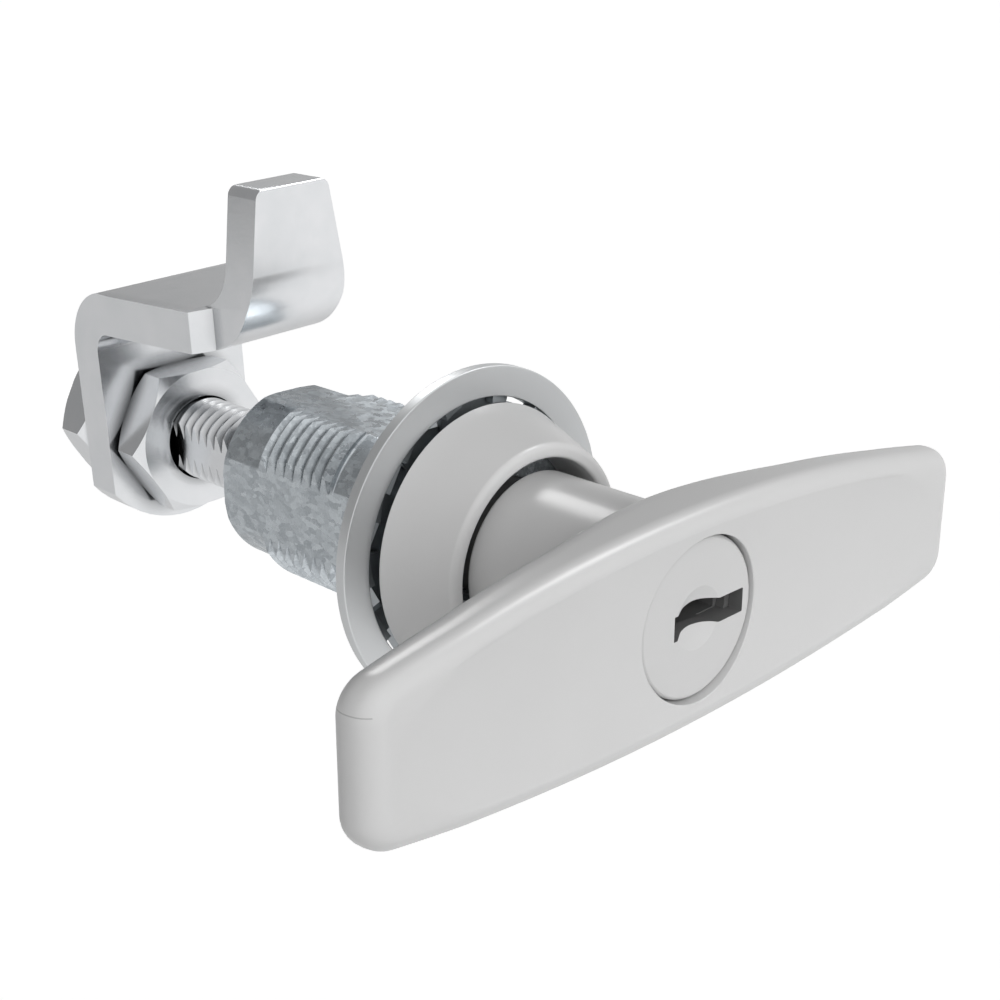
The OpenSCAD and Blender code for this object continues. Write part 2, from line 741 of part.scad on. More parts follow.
// Hexagon nut with both faces chamfered, its corners towards +X and -X
module hex_nut(y, t) {
    corner_r = nut_af / 2 / cos(30);
    difference() {
        intersection() {
            translate([0, y, 0]) rotate([-90, 0, 0]) cylinder(h = t, r = corner_r, $fn = 6);
            turned() polygon([[0, y], [nut_face_r, y], [corner_r, y + nut_chamfer],
                              [corner_r, y + t - nut_chamfer], [nut_face_r, y + t], [0, y + t]]);
        }
        rod(y - 1, y + t + 1, stud_r + run);
    }
}

module front_nut() {
    color(zinc_plate) at_angle(rest_turn) hex_nut(nut_y, front_nut_t);
}

module rear_nut() {
    color(zinc_plate) at_angle(rest_turn) hex_nut(rear_nut_y, rear_nut_t);
}

module lock_washer() {
    color(zinc_plate) at_angle(rest_turn) difference() {
        tube(washer_y, washer_y + washer_t, washer_r, stud_r + run);
        rotate([0, -washer_split_at, 0]) translate([0, 0, -washer_split / 2]) cube([far, far, washer_split]);
    }
}

// Side view of the bent cam plate: place along the axis, height above it
module cam_side() {
    base_r = base_bend_r + cam_t;
    tab_r = tab_bend_r + cam_t;
    bend_y = cam_y + cam_t - base_r;
    bend_z = arm_z - base_bend_r;
    tab_bend_y = tab_y + tab_r;
    tab_bend_z = arm_z + arm_rise + tab_r;
    polygon(concat(
        [[cam_y, -far], [cam_y + cam_t, -far]],
        arc(bend_y, bend_z, base_r, 0, 90),
        arc(tab_bend_y, tab_bend_z, tab_bend_r, 270, 180),
        [[tab_y + cam_t, tab_top_z], [tab_y, tab_top_z]],
        arc(tab_bend_y, tab_bend_z, tab_r, 180, 270),
        arc(bend_y, bend_z, base_bend_r, 90, 0)));
}

// Front view of the cam: across the axis, height above it
module cam_front() {
    foot_z = arm_z + cam_t;
    end_a = asin(cam_half_w / cam_end_r);
    difference() {
        polygon(concat(
            arc(0, cam_end_z, cam_end_r, 270 - end_a, 270 + end_a, 16),
            [[cam_half_w, foot_z], [tab_foot_w, foot_z + 0.5]],
            arc(tab_top_w - tab_corner, tab_top_z - tab_corner, tab_corner, 0, 90, 4),
            arc(-tab_top_w + tab_corner, tab_top_z - tab_corner, tab_corner, 90, 180, 4),
            [[-tab_foot_w, foot_z + 0.5], [-cam_half_w, foot_z]]));
        intersection() {
            circle(r = stud_r + run);
            square([2 * (stud_flat + run), far], center = true);
        }
    }
}

// Top view of the cam: across the axis, place along it
module cam_top() {
    rear_y = cam_y + cam_t + 1;
    taper_y = cam_y - base_bend_r - 1;
    neck_y = tab_y + tab_bend_r + cam_t - 1.1;
    polygon([[cam_half_w, rear_y], [cam_half_w, taper_y], [arm_half_w, neck_y], [tab_foot_w, neck_y - 0.6],
             [tab_foot_w, tab_y - 1], [-tab_foot_w, tab_y - 1], [-tab_foot_w, neck_y - 0.6],
             [-arm_half_w, neck_y], [-cam_half_w, taper_y], [-cam_half_w, rear_y]]);
}

module cam() {
    color(zinc_plate) at_angle(rest_turn) intersection() {
        rotate([90, 0, 90]) linear_extrude(height = 3 * cam_half_w, center = true) cam_side();
        rotate([90, 0, 0]) translate([0, 0, -far]) linear_extrude(height = far) cam_front();
        translate([0, 0, -far]) linear_extrude(height = 2 * far) cam_top();
    }
}

bezel();
barrel();
panel_gasket();
panel_nut();
rear_clip();
guide_sleeve();
guide_plate();
handle();
driver();
driver_screw();
driver_ring();
stem_seal();
plug_keeper_pin();
lock_plug();
plug_wafers();
plug_tail_disc();
lock_bolt();
draw_stud();
cross_pin();
return_spring();
front_nut();
cam();
lock_washer();
rear_nut();
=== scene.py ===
"""A key-locked T-handle compression latch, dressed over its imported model.

The latch's axis is Y: the handle points to -Y, the cam to +Y, and +Z is up.
Pieces are shaped in millimetres on a Bench, and delivered in metres.
"""
import logging
import math
from dataclasses import dataclass
from enum import Enum
from typing import Callable, ClassVar

import bmesh
import bpy
from mathutils import Matrix, Vector


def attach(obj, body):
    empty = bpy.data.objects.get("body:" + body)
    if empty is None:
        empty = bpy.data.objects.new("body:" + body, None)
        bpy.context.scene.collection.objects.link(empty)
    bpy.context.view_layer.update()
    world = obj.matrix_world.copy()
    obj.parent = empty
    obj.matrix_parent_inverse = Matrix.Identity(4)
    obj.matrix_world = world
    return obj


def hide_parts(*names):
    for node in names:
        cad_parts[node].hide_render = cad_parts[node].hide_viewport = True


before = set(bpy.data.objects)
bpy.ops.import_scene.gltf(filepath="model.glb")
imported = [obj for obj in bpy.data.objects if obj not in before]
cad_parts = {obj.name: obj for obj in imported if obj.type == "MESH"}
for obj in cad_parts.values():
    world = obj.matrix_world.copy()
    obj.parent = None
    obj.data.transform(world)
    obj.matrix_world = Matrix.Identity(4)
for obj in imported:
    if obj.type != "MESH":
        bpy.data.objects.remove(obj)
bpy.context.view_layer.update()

LOG = logging.getLogger("latch")
REST_TURN = 2.5
Corner = tuple[float, ...]
Place = tuple[float, float, float]
Tree = bpy.types.NodeTree
Socket = bpy.types.NodeSocket
Patterns = tuple[Socket, Socket, Socket]


class Slot(Enum):
    """Material slots of the record, which the builders name for each piece."""

    PAINT = "grey_paint"
    PLUG = "plug_paint"
    GALVANISED = "galvanised_zinc"
    SATIN = "satin_zinc_plate"
    PLATED = "zinc_plated_steel"
    SPRING = "spring_steel"


class Body(Enum):
    """Bodies of the record that the pieces move with."""

    HOUSING = "housing"
    HANDLE = "handle"
    PLUG = "plug"
    DRAWBAR = "drawbar"


class Cut(Enum):
    """Ways to combine two shapes."""

    AWAY = "DIFFERENCE"
    COMMON = "INTERSECT"
    JOIN = "UNION"


class Side(Enum):
    """Directions that an outline is drawn across."""

    X = 0
    Y = 1
    Z = 2


def linear(code: str) -> tuple[float, float, float, float]:
    """Turns an sRGB hex code into a linear colour.

    Args:
        code: Six hex digits, with or without a hash sign.

    Returns:
        Red, green, blue and an alpha of 1.
    """
    digits = code.lstrip("#")
    channels = [int(digits[i:i + 2], 16) / 255 for i in (0, 2, 4)]
    red, green, blue = (c / 12.92 if c <= 0.04045 else ((c + 0.055) / 1.055) ** 2.4 for c in channels)
    return red, green, blue, 1.0


def add_node(tree: Tree, kind: str, settings: dict | None = None,
             links: dict | None = None) -> bpy.types.Node:
    """Adds a shader node to a tree with its settings and links.

    Args:
        tree: The tree that gets the node.
        kind: The node's type, without the words that all shader nodes' types start with.
        settings: Values of the node's own options, or of its inputs by name or number.
        links: Outputs of other nodes, by the input that they feed.

    Returns:
        The new node.
    """
    node = tree.nodes.new("ShaderNode" + kind)
    for name, value in (settings or {}).items():
        if isinstance(name, str) and hasattr(node, name):
            setattr(node, name, value)
        else:
            node.inputs[name].default_value = value
    for name, output in (links or {}).items():
        tree.links.new(output, node.inputs[name])
    return node


def per_mm(size: float) -> float:
    """Gives the scale of a pattern whose features measure size millimetres."""
    return 1000 / size


@dataclass(frozen=True)
class Surface:
    """A finish drawn from nodes, which is built once.

    It has three patterns of values from 0 to 1: the first mixes its two tones, the second varies its
    roughness, and the third is its relief. Inner corners, where other faces stand close, are darker:
    painted shade, drawn from ambient occlusion.
    """

    sockets: ClassVar[dict[str, float]] = {}
    spread: ClassVar[tuple[float, float]] = (-0.03, 0.03)
    relief_m: ClassVar[float] = 0.0001
    clear_sky: ClassVar[float] = 1.0
    name: str
    tones: tuple[str, str] = ("#808080", "#808080")
    roughness: float = 0.5
    depth: float = 0.1
    # Tone and reach of the painted shade in inner corners.
    painted_shade_tone: str = "#404040"
    painted_shade_mm: float = 0.0

    def material(self) -> bpy.types.Material:
        """Builds the finish, or finds it if it is built.

        Returns:
            The material.
        """
        found = bpy.data.materials.get(self.name)
        if found:
            return found
        material = bpy.data.materials.new(self.name)
        material.use_nodes = True
        tree = material.node_tree
        shader = tree.nodes["Principled BSDF"]
        for socket, value in self.sockets.items():
            shader.inputs[socket].default_value = value
        place = add_node(tree, "TexCoord").outputs["Object"]
        tint, grit, height = self.draw(tree, place)
        first, second = (linear(tone) for tone in self.tones)
        colour = add_node(tree, "Mix", {"data_type": "RGBA", 6: first, 7: second}, {0: tint})
        low, high = (self.roughness + change for change in self.spread)
        rough = add_node(tree, "MapRange", {"To Min": low, "To Max": high}, {"Value": grit})
        bump = add_node(tree, "Bump", {"Strength": self.depth, "Distance": self.relief_m},
                        {"Height": height})
        tree.links.new(self.shade_and_marks(tree, place, colour.outputs[2]), shader.inputs["Base Color"])
        tree.links.new(rough.outputs["Result"], shader.inputs["Roughness"])
        tree.links.new(bump.outputs["Normal"], shader.inputs["Normal"])
        return material

    def draw(self, tree: Tree, place: Socket) -> Patterns:
        """Draws the finish's patterns.

        Args:
            tree: The material's tree.
            place: Where a point lies.

        Returns:
            The three patterns.
        """
        raise NotImplementedError(self.name)

    def shade_and_marks(self, tree: Tree, place: Socket, colour: Socket) -> Socket:
        """Paints shade into the colour in inner corners, where ambient occlusion finds other faces close.

        Args:
            tree: The material's tree.
            place: Where a point lies.
            colour: The colour of the finish.

        Returns:
            The colour with painted shade in its inner corners.
        """
        if not self.painted_shade_mm:
            return colour
        # Painted shade: the colour darkens towards the corner tone where other faces stand close.
        sky = add_node(tree, "AmbientOcclusion", {"samples": 16, "Distance": self.painted_shade_mm / 1000})
        share = add_node(tree, "MapRange", {"From Min": 0.3, "From Max": self.clear_sky},
                         {"Value": sky.outputs["AO"]})
        return add_node(tree, "Mix", {"data_type": "RGBA", 6: linear(self.painted_shade_tone)},
                        {0: share.outputs["Result"], 7: colour}).outputs[2]


@dataclass(frozen=True)
class PowderCoat(Surface):
    """Satin-gloss polyester powder coat on die-cast zinc, sprayed dry and baked.

    It gives the eye an even light grey with a soft wide highlight, and a faint orange peel.
    The real peel is finer than a pixel, so it is drawn about 1 mm wide and very shallow.
    """

    sockets: ClassVar[dict[str, float]] = {"Coat Weight": 0.25, "Coat Roughness": 0.22}
    relief_m: ClassVar[float] = 0.0004
    tones: tuple[str, str] = ("#D2D2D2", "#CECECE")
    roughness: float = 0.3
    depth: float = 0.035
    cloud_mm: float = 9.0
    peel_mm: float = 1.1
    seam_tone: str = "#B0B0B0"
    seam_x: float = 0.0
    seam_z: float = 0.0
    seam_mm: float = 0.1

    def draw(self, tree: Tree, place: Socket) -> Patterns:
        """Draws wide clouds and the orange peel.

        Args:
            tree: The material's tree.
            place: Where a point lies.

        Returns:
            The three patterns.
        """
        cloud = add_node(tree, "TexNoise", {"Scale": per_mm(self.cloud_mm), "Detail": 2.0},
                         {"Vector": place})
        peel = add_node(tree, "TexNoise", {"Scale": per_mm(self.peel_mm), "Detail": 1.0}, {"Vector": place})
        return cloud.outputs["Fac"], cloud.outputs["Fac"], peel.outputs["Fac"]

    def shade_and_marks(self, tree: Tree, place: Socket, colour: Socket) -> Socket:
        """Draws the casting's parting line, a fine line across the grip's left end.

        Args:
            tree: The material's tree.
            place: Where a point lies.
            colour: The colour of the finish.

        Returns:
            The colour with the line on it.
        """
        if not self.seam_x:
            return colour
        parts = add_node(tree, "SeparateXYZ", {}, {0: place})
        height, half = self.seam_z / 1000, self.seam_mm / 2000
        across = add_node(tree, "Math", {"operation": "COMPARE", 1: height, 2: half},
                          {0: parts.outputs["Z"]})
        left = add_node(tree, "Math", {"operation": "LESS_THAN", 1: self.seam_x / 1000},
                        {0: parts.outputs["X"]})
        line = add_node(tree, "Math", {"operation": "MULTIPLY"}, {0: across.outputs[0], 1: left.outputs[0]})
        return add_node(tree, "Mix", {"data_type": "RGBA", 7: linear(self.seam_tone)},
                        {0: line.outputs[0], 6: colour}).outputs[2]


@dataclass(frozen=True)
class PlatedMetal(Surface):
    """Metal with a thin bright skin, such as passivated zinc plate on steel, drawn steel or brass.

    It gives the eye a cool mirror blurred by a fine grain, with faint cloudy patches from the bath.
    Inner corners and thread roots are darker: painted shade, drawn from ambient occlusion.
    The grain is a few hundredths of a millimetre, drawn ten times coarser so that it shows.
    """

    sockets: ClassVar[dict[str, float]] = {"Metallic": 1.0}
    clear_sky: ClassVar[float] = 0.95
    tones: tuple[str, str] = ("#DFE0E2", "#D9DBDD")
    roughness: float = 0.2
    depth: float = 0.02
    # Painted shade in inner corners and thread roots.
    painted_shade_tone: str = "#484A4C"
    painted_shade_mm: float = 2.7
    cloud_mm: float = 5.0
    grain_mm: float = 0.35

    def draw(self, tree: Tree, place: Socket) -> Patterns:
        """Draws patches and grain.

        Args:
            tree: The material's tree.
            place: Where a point lies.

        Returns:
            The three patterns.
        """
        cloud = add_node(tree, "TexNoise", {"Scale": per_mm(self.cloud_mm), "Detail": 4.0, "Roughness": 0.6},
                         {"Vector": place})
        patch = add_node(tree, "MapRange", {"From Min": 0.35, "From Max": 0.65},
                         {"Value": cloud.outputs["Fac"]})
        grain = add_node(tree, "TexNoise", {"Scale": per_mm(self.grain_mm), "Detail": 2.0},
                         {"Vector": place})
        return patch.outputs["Result"], grain.outputs["Fac"], grain.outputs["Fac"]


@dataclass(frozen=True)
class SpangledZinc(Surface):
    """Galvanised zinc on a casting, hot dipped, so that crystals up to a millimetre grew as it froze.

    It gives the eye angular leaf-like patches of lighter and darker blue-grey, each a slightly
    different mirror. Thread roots and inner corners are darker: painted shade, drawn from ambient occlusion.
    """

    sockets: ClassVar[dict[str, float]] = {"Metallic": 1.0}
    spread: ClassVar[tuple[float, float]] = (-0.1, 0.16)
    clear_sky: ClassVar[float] = 0.75
    tones: tuple[str, str] = ("#92989D", "#D6DCE0")
    roughness: float = 0.33
    depth: float = 0.25
    # Painted shade in thread roots and inner corners.
    painted_shade_tone: str = "#45494C"
    painted_shade_mm: float = 1.0
    spangle_mm: float = 0.62
    speckle_mm: float = 0.22
    speckle_share: float = 0.55
    drift_mm: float = 1.3
    drift_reach_mm: float = 1.4

    def draw(self, tree: Tree, place: Socket) -> Patterns:
        """Draws crystals bent by a slow drift, and speckle.

        Args:
            tree: The material's tree.
            place: Where a point lies.

        Returns:
            The three patterns.
        """
        turned = add_node(tree, "Mapping", {"Rotation": (0.5, 0.2, 0.7), "Scale": (1.0, 0.62, 1.0)},
                          {"Vector": place}).outputs["Vector"]
        drift = add_node(tree, "TexNoise", {"Scale": per_mm(self.drift_mm), "Detail": 3.0},
                         {"Vector": turned})
        reach = (self.drift_reach_mm / 1000,) * 3
        bent = add_node(tree, "VectorMath", {"operation": "MULTIPLY_ADD", 1: reach},
                        {0: drift.outputs["Color"], 2: turned})
        crystal = add_node(tree, "TexVoronoi", {"Scale": per_mm(self.spangle_mm)},
                           {"Vector": bent.outputs["Vector"]})
        cell = add_node(tree, "SeparateColor", {}, {"Color": crystal.outputs["Color"]})
        speckle = add_node(tree, "TexNoise", {"Scale": per_mm(self.speckle_mm), "Detail": 3.0},
                           {"Vector": place})
        mixed = add_node(tree, "Mix", {"data_type": "FLOAT", 0: self.speckle_share},
                         {2: cell.outputs[0], 3: speckle.outputs["Fac"]})
        return mixed.outputs[0], cell.outputs[1], mixed.outputs[0]


@dataclass(frozen=True)
class MouldedRubber(Surface):
    """Black nitrile rubber, moulded, with a dull skin that is slightly greasy in patches."""

    spread: ClassVar[tuple[float, float]] = (0.0, 0.25)
    tones: tuple[str, str] = ("#1C1C1C", "#262626")
    cloud_mm: float = 1.5

    def draw(self, tree: Tree, place: Socket) -> Patterns:
        """Draws greasy patches.

        Args:
            tree: The material's tree.
            place: Where a point lies.

        Returns:
            The three patterns.
        """
        cloud = add_node(tree, "TexNoise", {"Scale": per_mm(self.cloud_mm), "Detail": 3.0},
                         {"Vector": place})
        return (cloud.outputs["Fac"],) * 3


GREY_PAINT = PowderCoat("satin_powder_coat")
GRIP_PAINT = PowderCoat("grip_powder_coat", seam_x=-40.1, seam_z=5.0)
PLUG_PAINT = PowderCoat("plug_powder_coat", ("#CFCFCF", "#CBCBCB"), 0.4)
# Dark grey that stands in for the shade deep in the keyway and the mouth: painted shade.
RECESS_SHADE = PowderCoat("recess_painted_shade", ("#6A6A6A", "#5E5E5E"), 0.6)
BRIGHT_ZINC = PlatedMetal("bright_zinc_plate")
RING_ZINC = PlatedMetal("satin_zinc_plate", ("#DADCDD", "#D4D6D8"), 0.36, 0.04)
# Zinc drawn darker as painted shade, for the teeth and the inner faces of the panel nut.
ZINC_IN_SHADE = PlatedMetal("zinc_plate_painted_shade", ("#A3A8AB", "#93989C"), 0.4, painted_shade_mm=0.5)
DRAWN_STEEL = PlatedMetal("drawn_steel", ("#A2A2A4", "#8C8C90"), 0.34)
STAMPED_BRASS = PlatedMetal("stamped_brass", ("#D8B667", "#C29B4C"), 0.36)
GALVANISED = SpangledZinc("spangled_zinc")
NITRILE = MouldedRubber("nitrile_rubber")


class Bench:
    """A mesh in millimetres with the operations that shape the latch's pieces."""

    def __init__(self) -> None:
        """Starts with nothing on the bench."""
        self.mesh = bmesh.new()

    def weld(self, reach: float = 1e-4) -> None:
        """Merges points closer than reach, and turns the faces outwards."""
        bmesh.ops.remove_doubles(self.mesh, verts=self.mesh.verts, dist=reach)
        bmesh.ops.recalc_face_normals(self.mesh, faces=self.mesh.faces)

    def close(self) -> "Bench":
        """Fills every open rim with one face.

        Returns:
            This bench.
        """
        rims = [edge for edge in self.mesh.edges if edge.is_boundary]
        if rims:
            bmesh.ops.holes_fill(self.mesh, edges=rims, sides=0)
        bmesh.ops.recalc_face_normals(self.mesh, faces=self.mesh.faces)
        return self

    def ease(self, edges: list, width: float) -> None:
        """Rounds edges, from width millimetres beside them."""
        bmesh.ops.bevel(self.mesh, geom=edges, offset=width, offset_type="OFFSET", segments=4,
                        profile=0.5, affect="EDGES", material=-1, clamp_overlap=True)

    def lathe(self, corners: list[Corner], first: float = 0.0, last: float = 360.0,
              steps: int = 128) -> "Bench":
        """Turns a profile about the axis.

        Args:
            corners: Radius and place along the axis of each corner, and its rounding if it has one.
            first: Angle where the turning starts, from +X towards +Z.
            last: Angle where it ends.
            steps: Faces round a full turn.

        Returns:
            This bench.
        """
        whole = last - first >= 360
        points = [self.mesh.verts.new((radius, place, 0)) for radius, place, *_ in corners]
        pairs = list(zip(points, points[1:]))
        if corners[0][0] > 0 or corners[-1][0] > 0:
            pairs.append((points[-1], points[0]))
        lines = [self.mesh.edges.new(pair) for pair in pairs]
        bmesh.ops.rotate(self.mesh, verts=points, cent=(0, 0, 0),
                         matrix=Matrix.Rotation(math.radians(first), 3, Vector((0, -1, 0))))
        bmesh.ops.spin(self.mesh, geom=points + lines, cent=(0, 0, 0), axis=(0, -1, 0), dvec=(0, 0, 0),
                       angle=math.radians(last - first), use_merge=whole,
                       steps=steps if whole else max(int(steps * (last - first) / 360), 3))
        self.weld()
        if not whole:
            self.close()
        for radius, place, *rounding in corners:
            if rounding:
                on_corner = {point for point in self.mesh.verts if abs(point.co.y - place) < 1e-3
                             and abs(math.hypot(point.co.x, point.co.z) - radius) < 1e-3}
                self.ease([edge for edge in self.mesh.edges if on_corner.issuperset(edge.verts)], *rounding)
        return self

    def thread(self, y0: float, y1: float, crest: float, root: float, pitch: float,
               steps: int = 96) -> "Bench":
        """Cuts a right-hand thread on a rod, with both ends tapered to the root.

        Args:
            y0: Where the thread starts.
            y1: Where it ends.
            crest: Radius over the crests.
            root: Radius at the root.
            pitch: Distance from crest to crest.
            steps: Faces round one turn.

        Returns:
            This bench.
        """
        land = pitch / 8
        flank = pitch / 2 - land
        turns = math.ceil((y1 - y0) / pitch) + 2
        profile = [(root, 0.0), (crest, flank), (crest, flank + land), (root, pitch - land), (root, pitch)]
        points = [self.mesh.verts.new((radius, y0 - pitch + place, 0)) for radius, place in profile]
        lines = [self.mesh.edges.new(pair) for pair in zip(points, points[1:])]
        bmesh.ops.spin(self.mesh, geom=points + lines, cent=(0, 0, 0), axis=(0, 1, 0),
                       dvec=(0, pitch / steps, 0), angle=math.tau * turns, steps=steps * turns,
                       use_merge=False)
        self.weld(2e-3)
        for place, way in ((y0, -1), (y1, 1)):
            self.saw((0, place, 0), (0, way, 0))
        for point in self.mesh.verts:
            radius = math.hypot(point.co.x, point.co.z)
            most = root + min(point.co.y - y0, y1 - point.co.y)
            if radius > most:
                share = max(most, root) / radius
                point.co.x *= share
                point.co.z *= share
        return self

    def saw(self, point: Place, away: Place) -> None:
        """Cuts the shape at a plane, and closes the cut.

        Args:
            point: A point on the plane.
            away: Direction towards the part that falls off.
        """
        everything = self.mesh.verts[:] + self.mesh.edges[:] + self.mesh.faces[:]
        bmesh.ops.bisect_plane(self.mesh, geom=everything, dist=1e-5, plane_co=point, plane_no=away,
                               clear_outer=True)
        self.close()

    def plate(self, side: Side, outline: list[Corner], low: float, high: float,
              segments: int = 12) -> "Bench":
        """Makes a prism from an outline.

        Args:
            side: The direction that the outline is pushed along.
            outline: Both places of each corner, in the order of the axes, and its rounding if it has one.
            low: Where the prism starts.
            high: Where it ends.
            segments: Faces across a rounded corner.

        Returns:
            This bench.
        """
        points = []
        for u, v, *_ in outline:
            place = [u, v]
            place.insert(side.value, low)
            points.append(self.mesh.verts.new(place))
        face = self.mesh.faces.new(points)
        for point, (_, _, *rounding) in zip(points, outline):
            if rounding:
                bmesh.ops.bevel(self.mesh, geom=[point], offset=rounding[0], offset_type="OFFSET",
                                segments=segments, profile=0.5, affect="VERTICES", material=-1,
                                clamp_overlap=False)
        face = next(face for face in self.mesh.faces
                    if all(abs(v.co[side.value] - low) < 1e-6 for v in face.verts)
                    and not any(edge.link_faces[1:] for edge in face.edges))
        grown = bmesh.ops.extrude_face_region(self.mesh, geom=[face])["geom"]
        push = [0.0, 0.0, 0.0]
        push[side.value] = high - low
        bmesh.ops.translate(self.mesh, vec=push,
                            verts=[part for part in grown if isinstance(part, bmesh.types.BMVert)])
        return self.close()

    def block(self, low: Place, high: Place) -> "Bench":
        """Adds a box.

        Args:
            low: Its corner with the lowest coordinates.
            high: Its corner with the highest ones.

        Returns:
            This bench.
        """
        made = bmesh.ops.create_cube(self.mesh, size=1.0)["verts"]
        bmesh.ops.scale(self.mesh, vec=[b - a for a, b in zip(low, high)], verts=made)
        bmesh.ops.translate(self.mesh, vec=[(a + b) / 2 for a, b in zip(low, high)], verts=made)
        return self

    def turn(self, angle: float) -> "Bench":
        """Turns the shape about the axis, from +X towards +Z, and returns this bench."""
        bmesh.ops.rotate(self.mesh, verts=self.mesh.verts, cent=(0, 0, 0),
                         matrix=Matrix.Rotation(math.radians(angle), 3, Vector((0, -1, 0))))
        return self

    def grow(self, loops: list[list[Vector]]) -> list:
        """Draws a closed loop, and extrudes it from loop to loop.

        Args:
            loops: Points of each loop, with the same count in each.

        Returns:
            The edges of the last loop, in order.
        """
        points = [self.mesh.verts.new(place) for place in loops[0]]
        edges = [self.mesh.edges.new(pair) for pair in zip(points, points[1:] + points[:1])]
        for loop in loops[1:]:
            made = bmesh.ops.extrude_edge_only(self.mesh, edges=edges)["geom"]
            fresh = {part for part in made if isinstance(part, bmesh.types.BMVert)}
            points = [next(end for edge in point.link_edges for end in edge.verts if end in fresh)
                      for point in points]
            for point, place in zip(points, loop):
                point.co = place
            edges = [self.mesh.edges.get(pair) for pair in zip(points, points[1:] + points[:1])]
        return edges

    def combine(self, other: "Bench", how: Cut) -> "Bench":
        """Combines this shape with another one.

        Args:
            other: The other shape, which is used up.
            how: Whether it is joined on, taken away or kept in common.

        Returns:
            This bench.
        """
        ours, theirs = (bench.loose(name) for bench, name in ((self, "blank"), (other, "tool")))
        cut = ours.modifiers.new("cut", "BOOLEAN")
        cut.operation = how.value
        cut.solver = "EXACT"
        cut.object = theirs
        bpy.context.view_layer.update()
        done = ours.evaluated_get(bpy.context.evaluated_depsgraph_get())
        self.mesh = bmesh.new()
        self.mesh.from_mesh(done.to_mesh())
        done.to_mesh_clear()
        for obj in (ours, theirs):
            data = obj.data
            bpy.data.objects.remove(obj)
            bpy.data.meshes.remove(data)
        bmesh.ops.remove_doubles(self.mesh, verts=self.mesh.verts, dist=1e-4)
        bmesh.ops.dissolve_degenerate(self.mesh, edges=self.mesh.edges, dist=1e-4)
        return self

    def loose(self, name: str, scale: float = 1.0) -> bpy.types.Object:
        """Makes an object of the shape, and clears the bench.

        Args:
            name: Name of the object.
            scale: Factor on its size, 0.001 for metres.

        Returns:
            The object.
        """
        bmesh.ops.scale(self.mesh, vec=(scale, scale, scale), verts=self.mesh.verts)
        mesh = bpy.data.meshes.new(name)
        self.mesh.to_mesh(mesh)
        self.mesh.free()
        obj = bpy.data.objects.new(name, mesh)
        bpy.context.scene.collection.objects.link(obj)
        return obj

    def deliver(self, name: str, body: Body, slot: Slot, finish: Surface, stands_for: tuple[str, ...] = (),
                crease: float = 33.0, edge: float = 0.0) -> bpy.types.Object:
        """Makes the finished piece, in metres, on its body.

        Args:
            name: Name of the piece.
            body: The body that it moves with.
            slot: The record's material slot; not used.
            finish: Its finish.
            stands_for: CAD nodes that it replaces.
            crease: Angle above which an edge stays sharp, in degrees.
            edge: Width of a small bevel on every sharp edge, in millimetres.

        Returns:
            The piece.
        """
        obj = self.loose(name, 0.001)
        obj.data.polygons.foreach_set("use_smooth", [True] * len(obj.data.polygons))
        obj.data.set_sharp_from_angle(angle=math.radians(crease))
        obj.data.materials.append(finish.material())
        if edge:
            bevel = obj.modifiers.new("edges", "BEVEL")
            bevel.width = edge / 1000
            bevel.segments = 2
            bevel.limit_method = "ANGLE"
            bevel.angle_limit = math.radians(crease)
        obj.modifiers.new("shading", "WEIGHTED_NORMAL").keep_sharp = True
        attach(obj, body.value)
        if stands_for:
            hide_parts(*stands_for)
        LOG.info("%s: %d faces on %s", name, len(obj.data.polygons), body.value)
        return obj


def recoat(obj: bpy.types.Object, finish: Surface, chosen: Callable[[Vector, Vector], bool]) -> None:
    """Gives some faces of a piece another finish.

    Args:
        obj: The piece.
        finish: Their finish.
        chosen: Says from a face's middle, in millimetres, and its normal whether it gets the finish.
    """
    obj.data.materials.append(finish.material())
    for face in obj.data.polygons:
        if chosen(face.center * 1000, face.normal):
            face.material_index = 1


def dress(node: str, finish: Surface) -> None:
    """Gives a CAD node that stays its finish, with its triangles joined for smooth shading.

    Args:
        node: Name of the node.
        finish: Its finish.
    """
    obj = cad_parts[node]
    obj.data.materials.clear()
    obj.data.materials.append(finish.material())
    obj.data.polygons.foreach_set("use_smooth", [True] * len(obj.data.polygons))
    weld = obj.modifiers.new("joined", "WELD")
    weld.merge_threshold = 1e-6
    split = obj.modifiers.new("creases", "EDGE_SPLIT")
    split.split_angle = math.radians(33)
    LOG.info("%s: CAD node dressed", node)


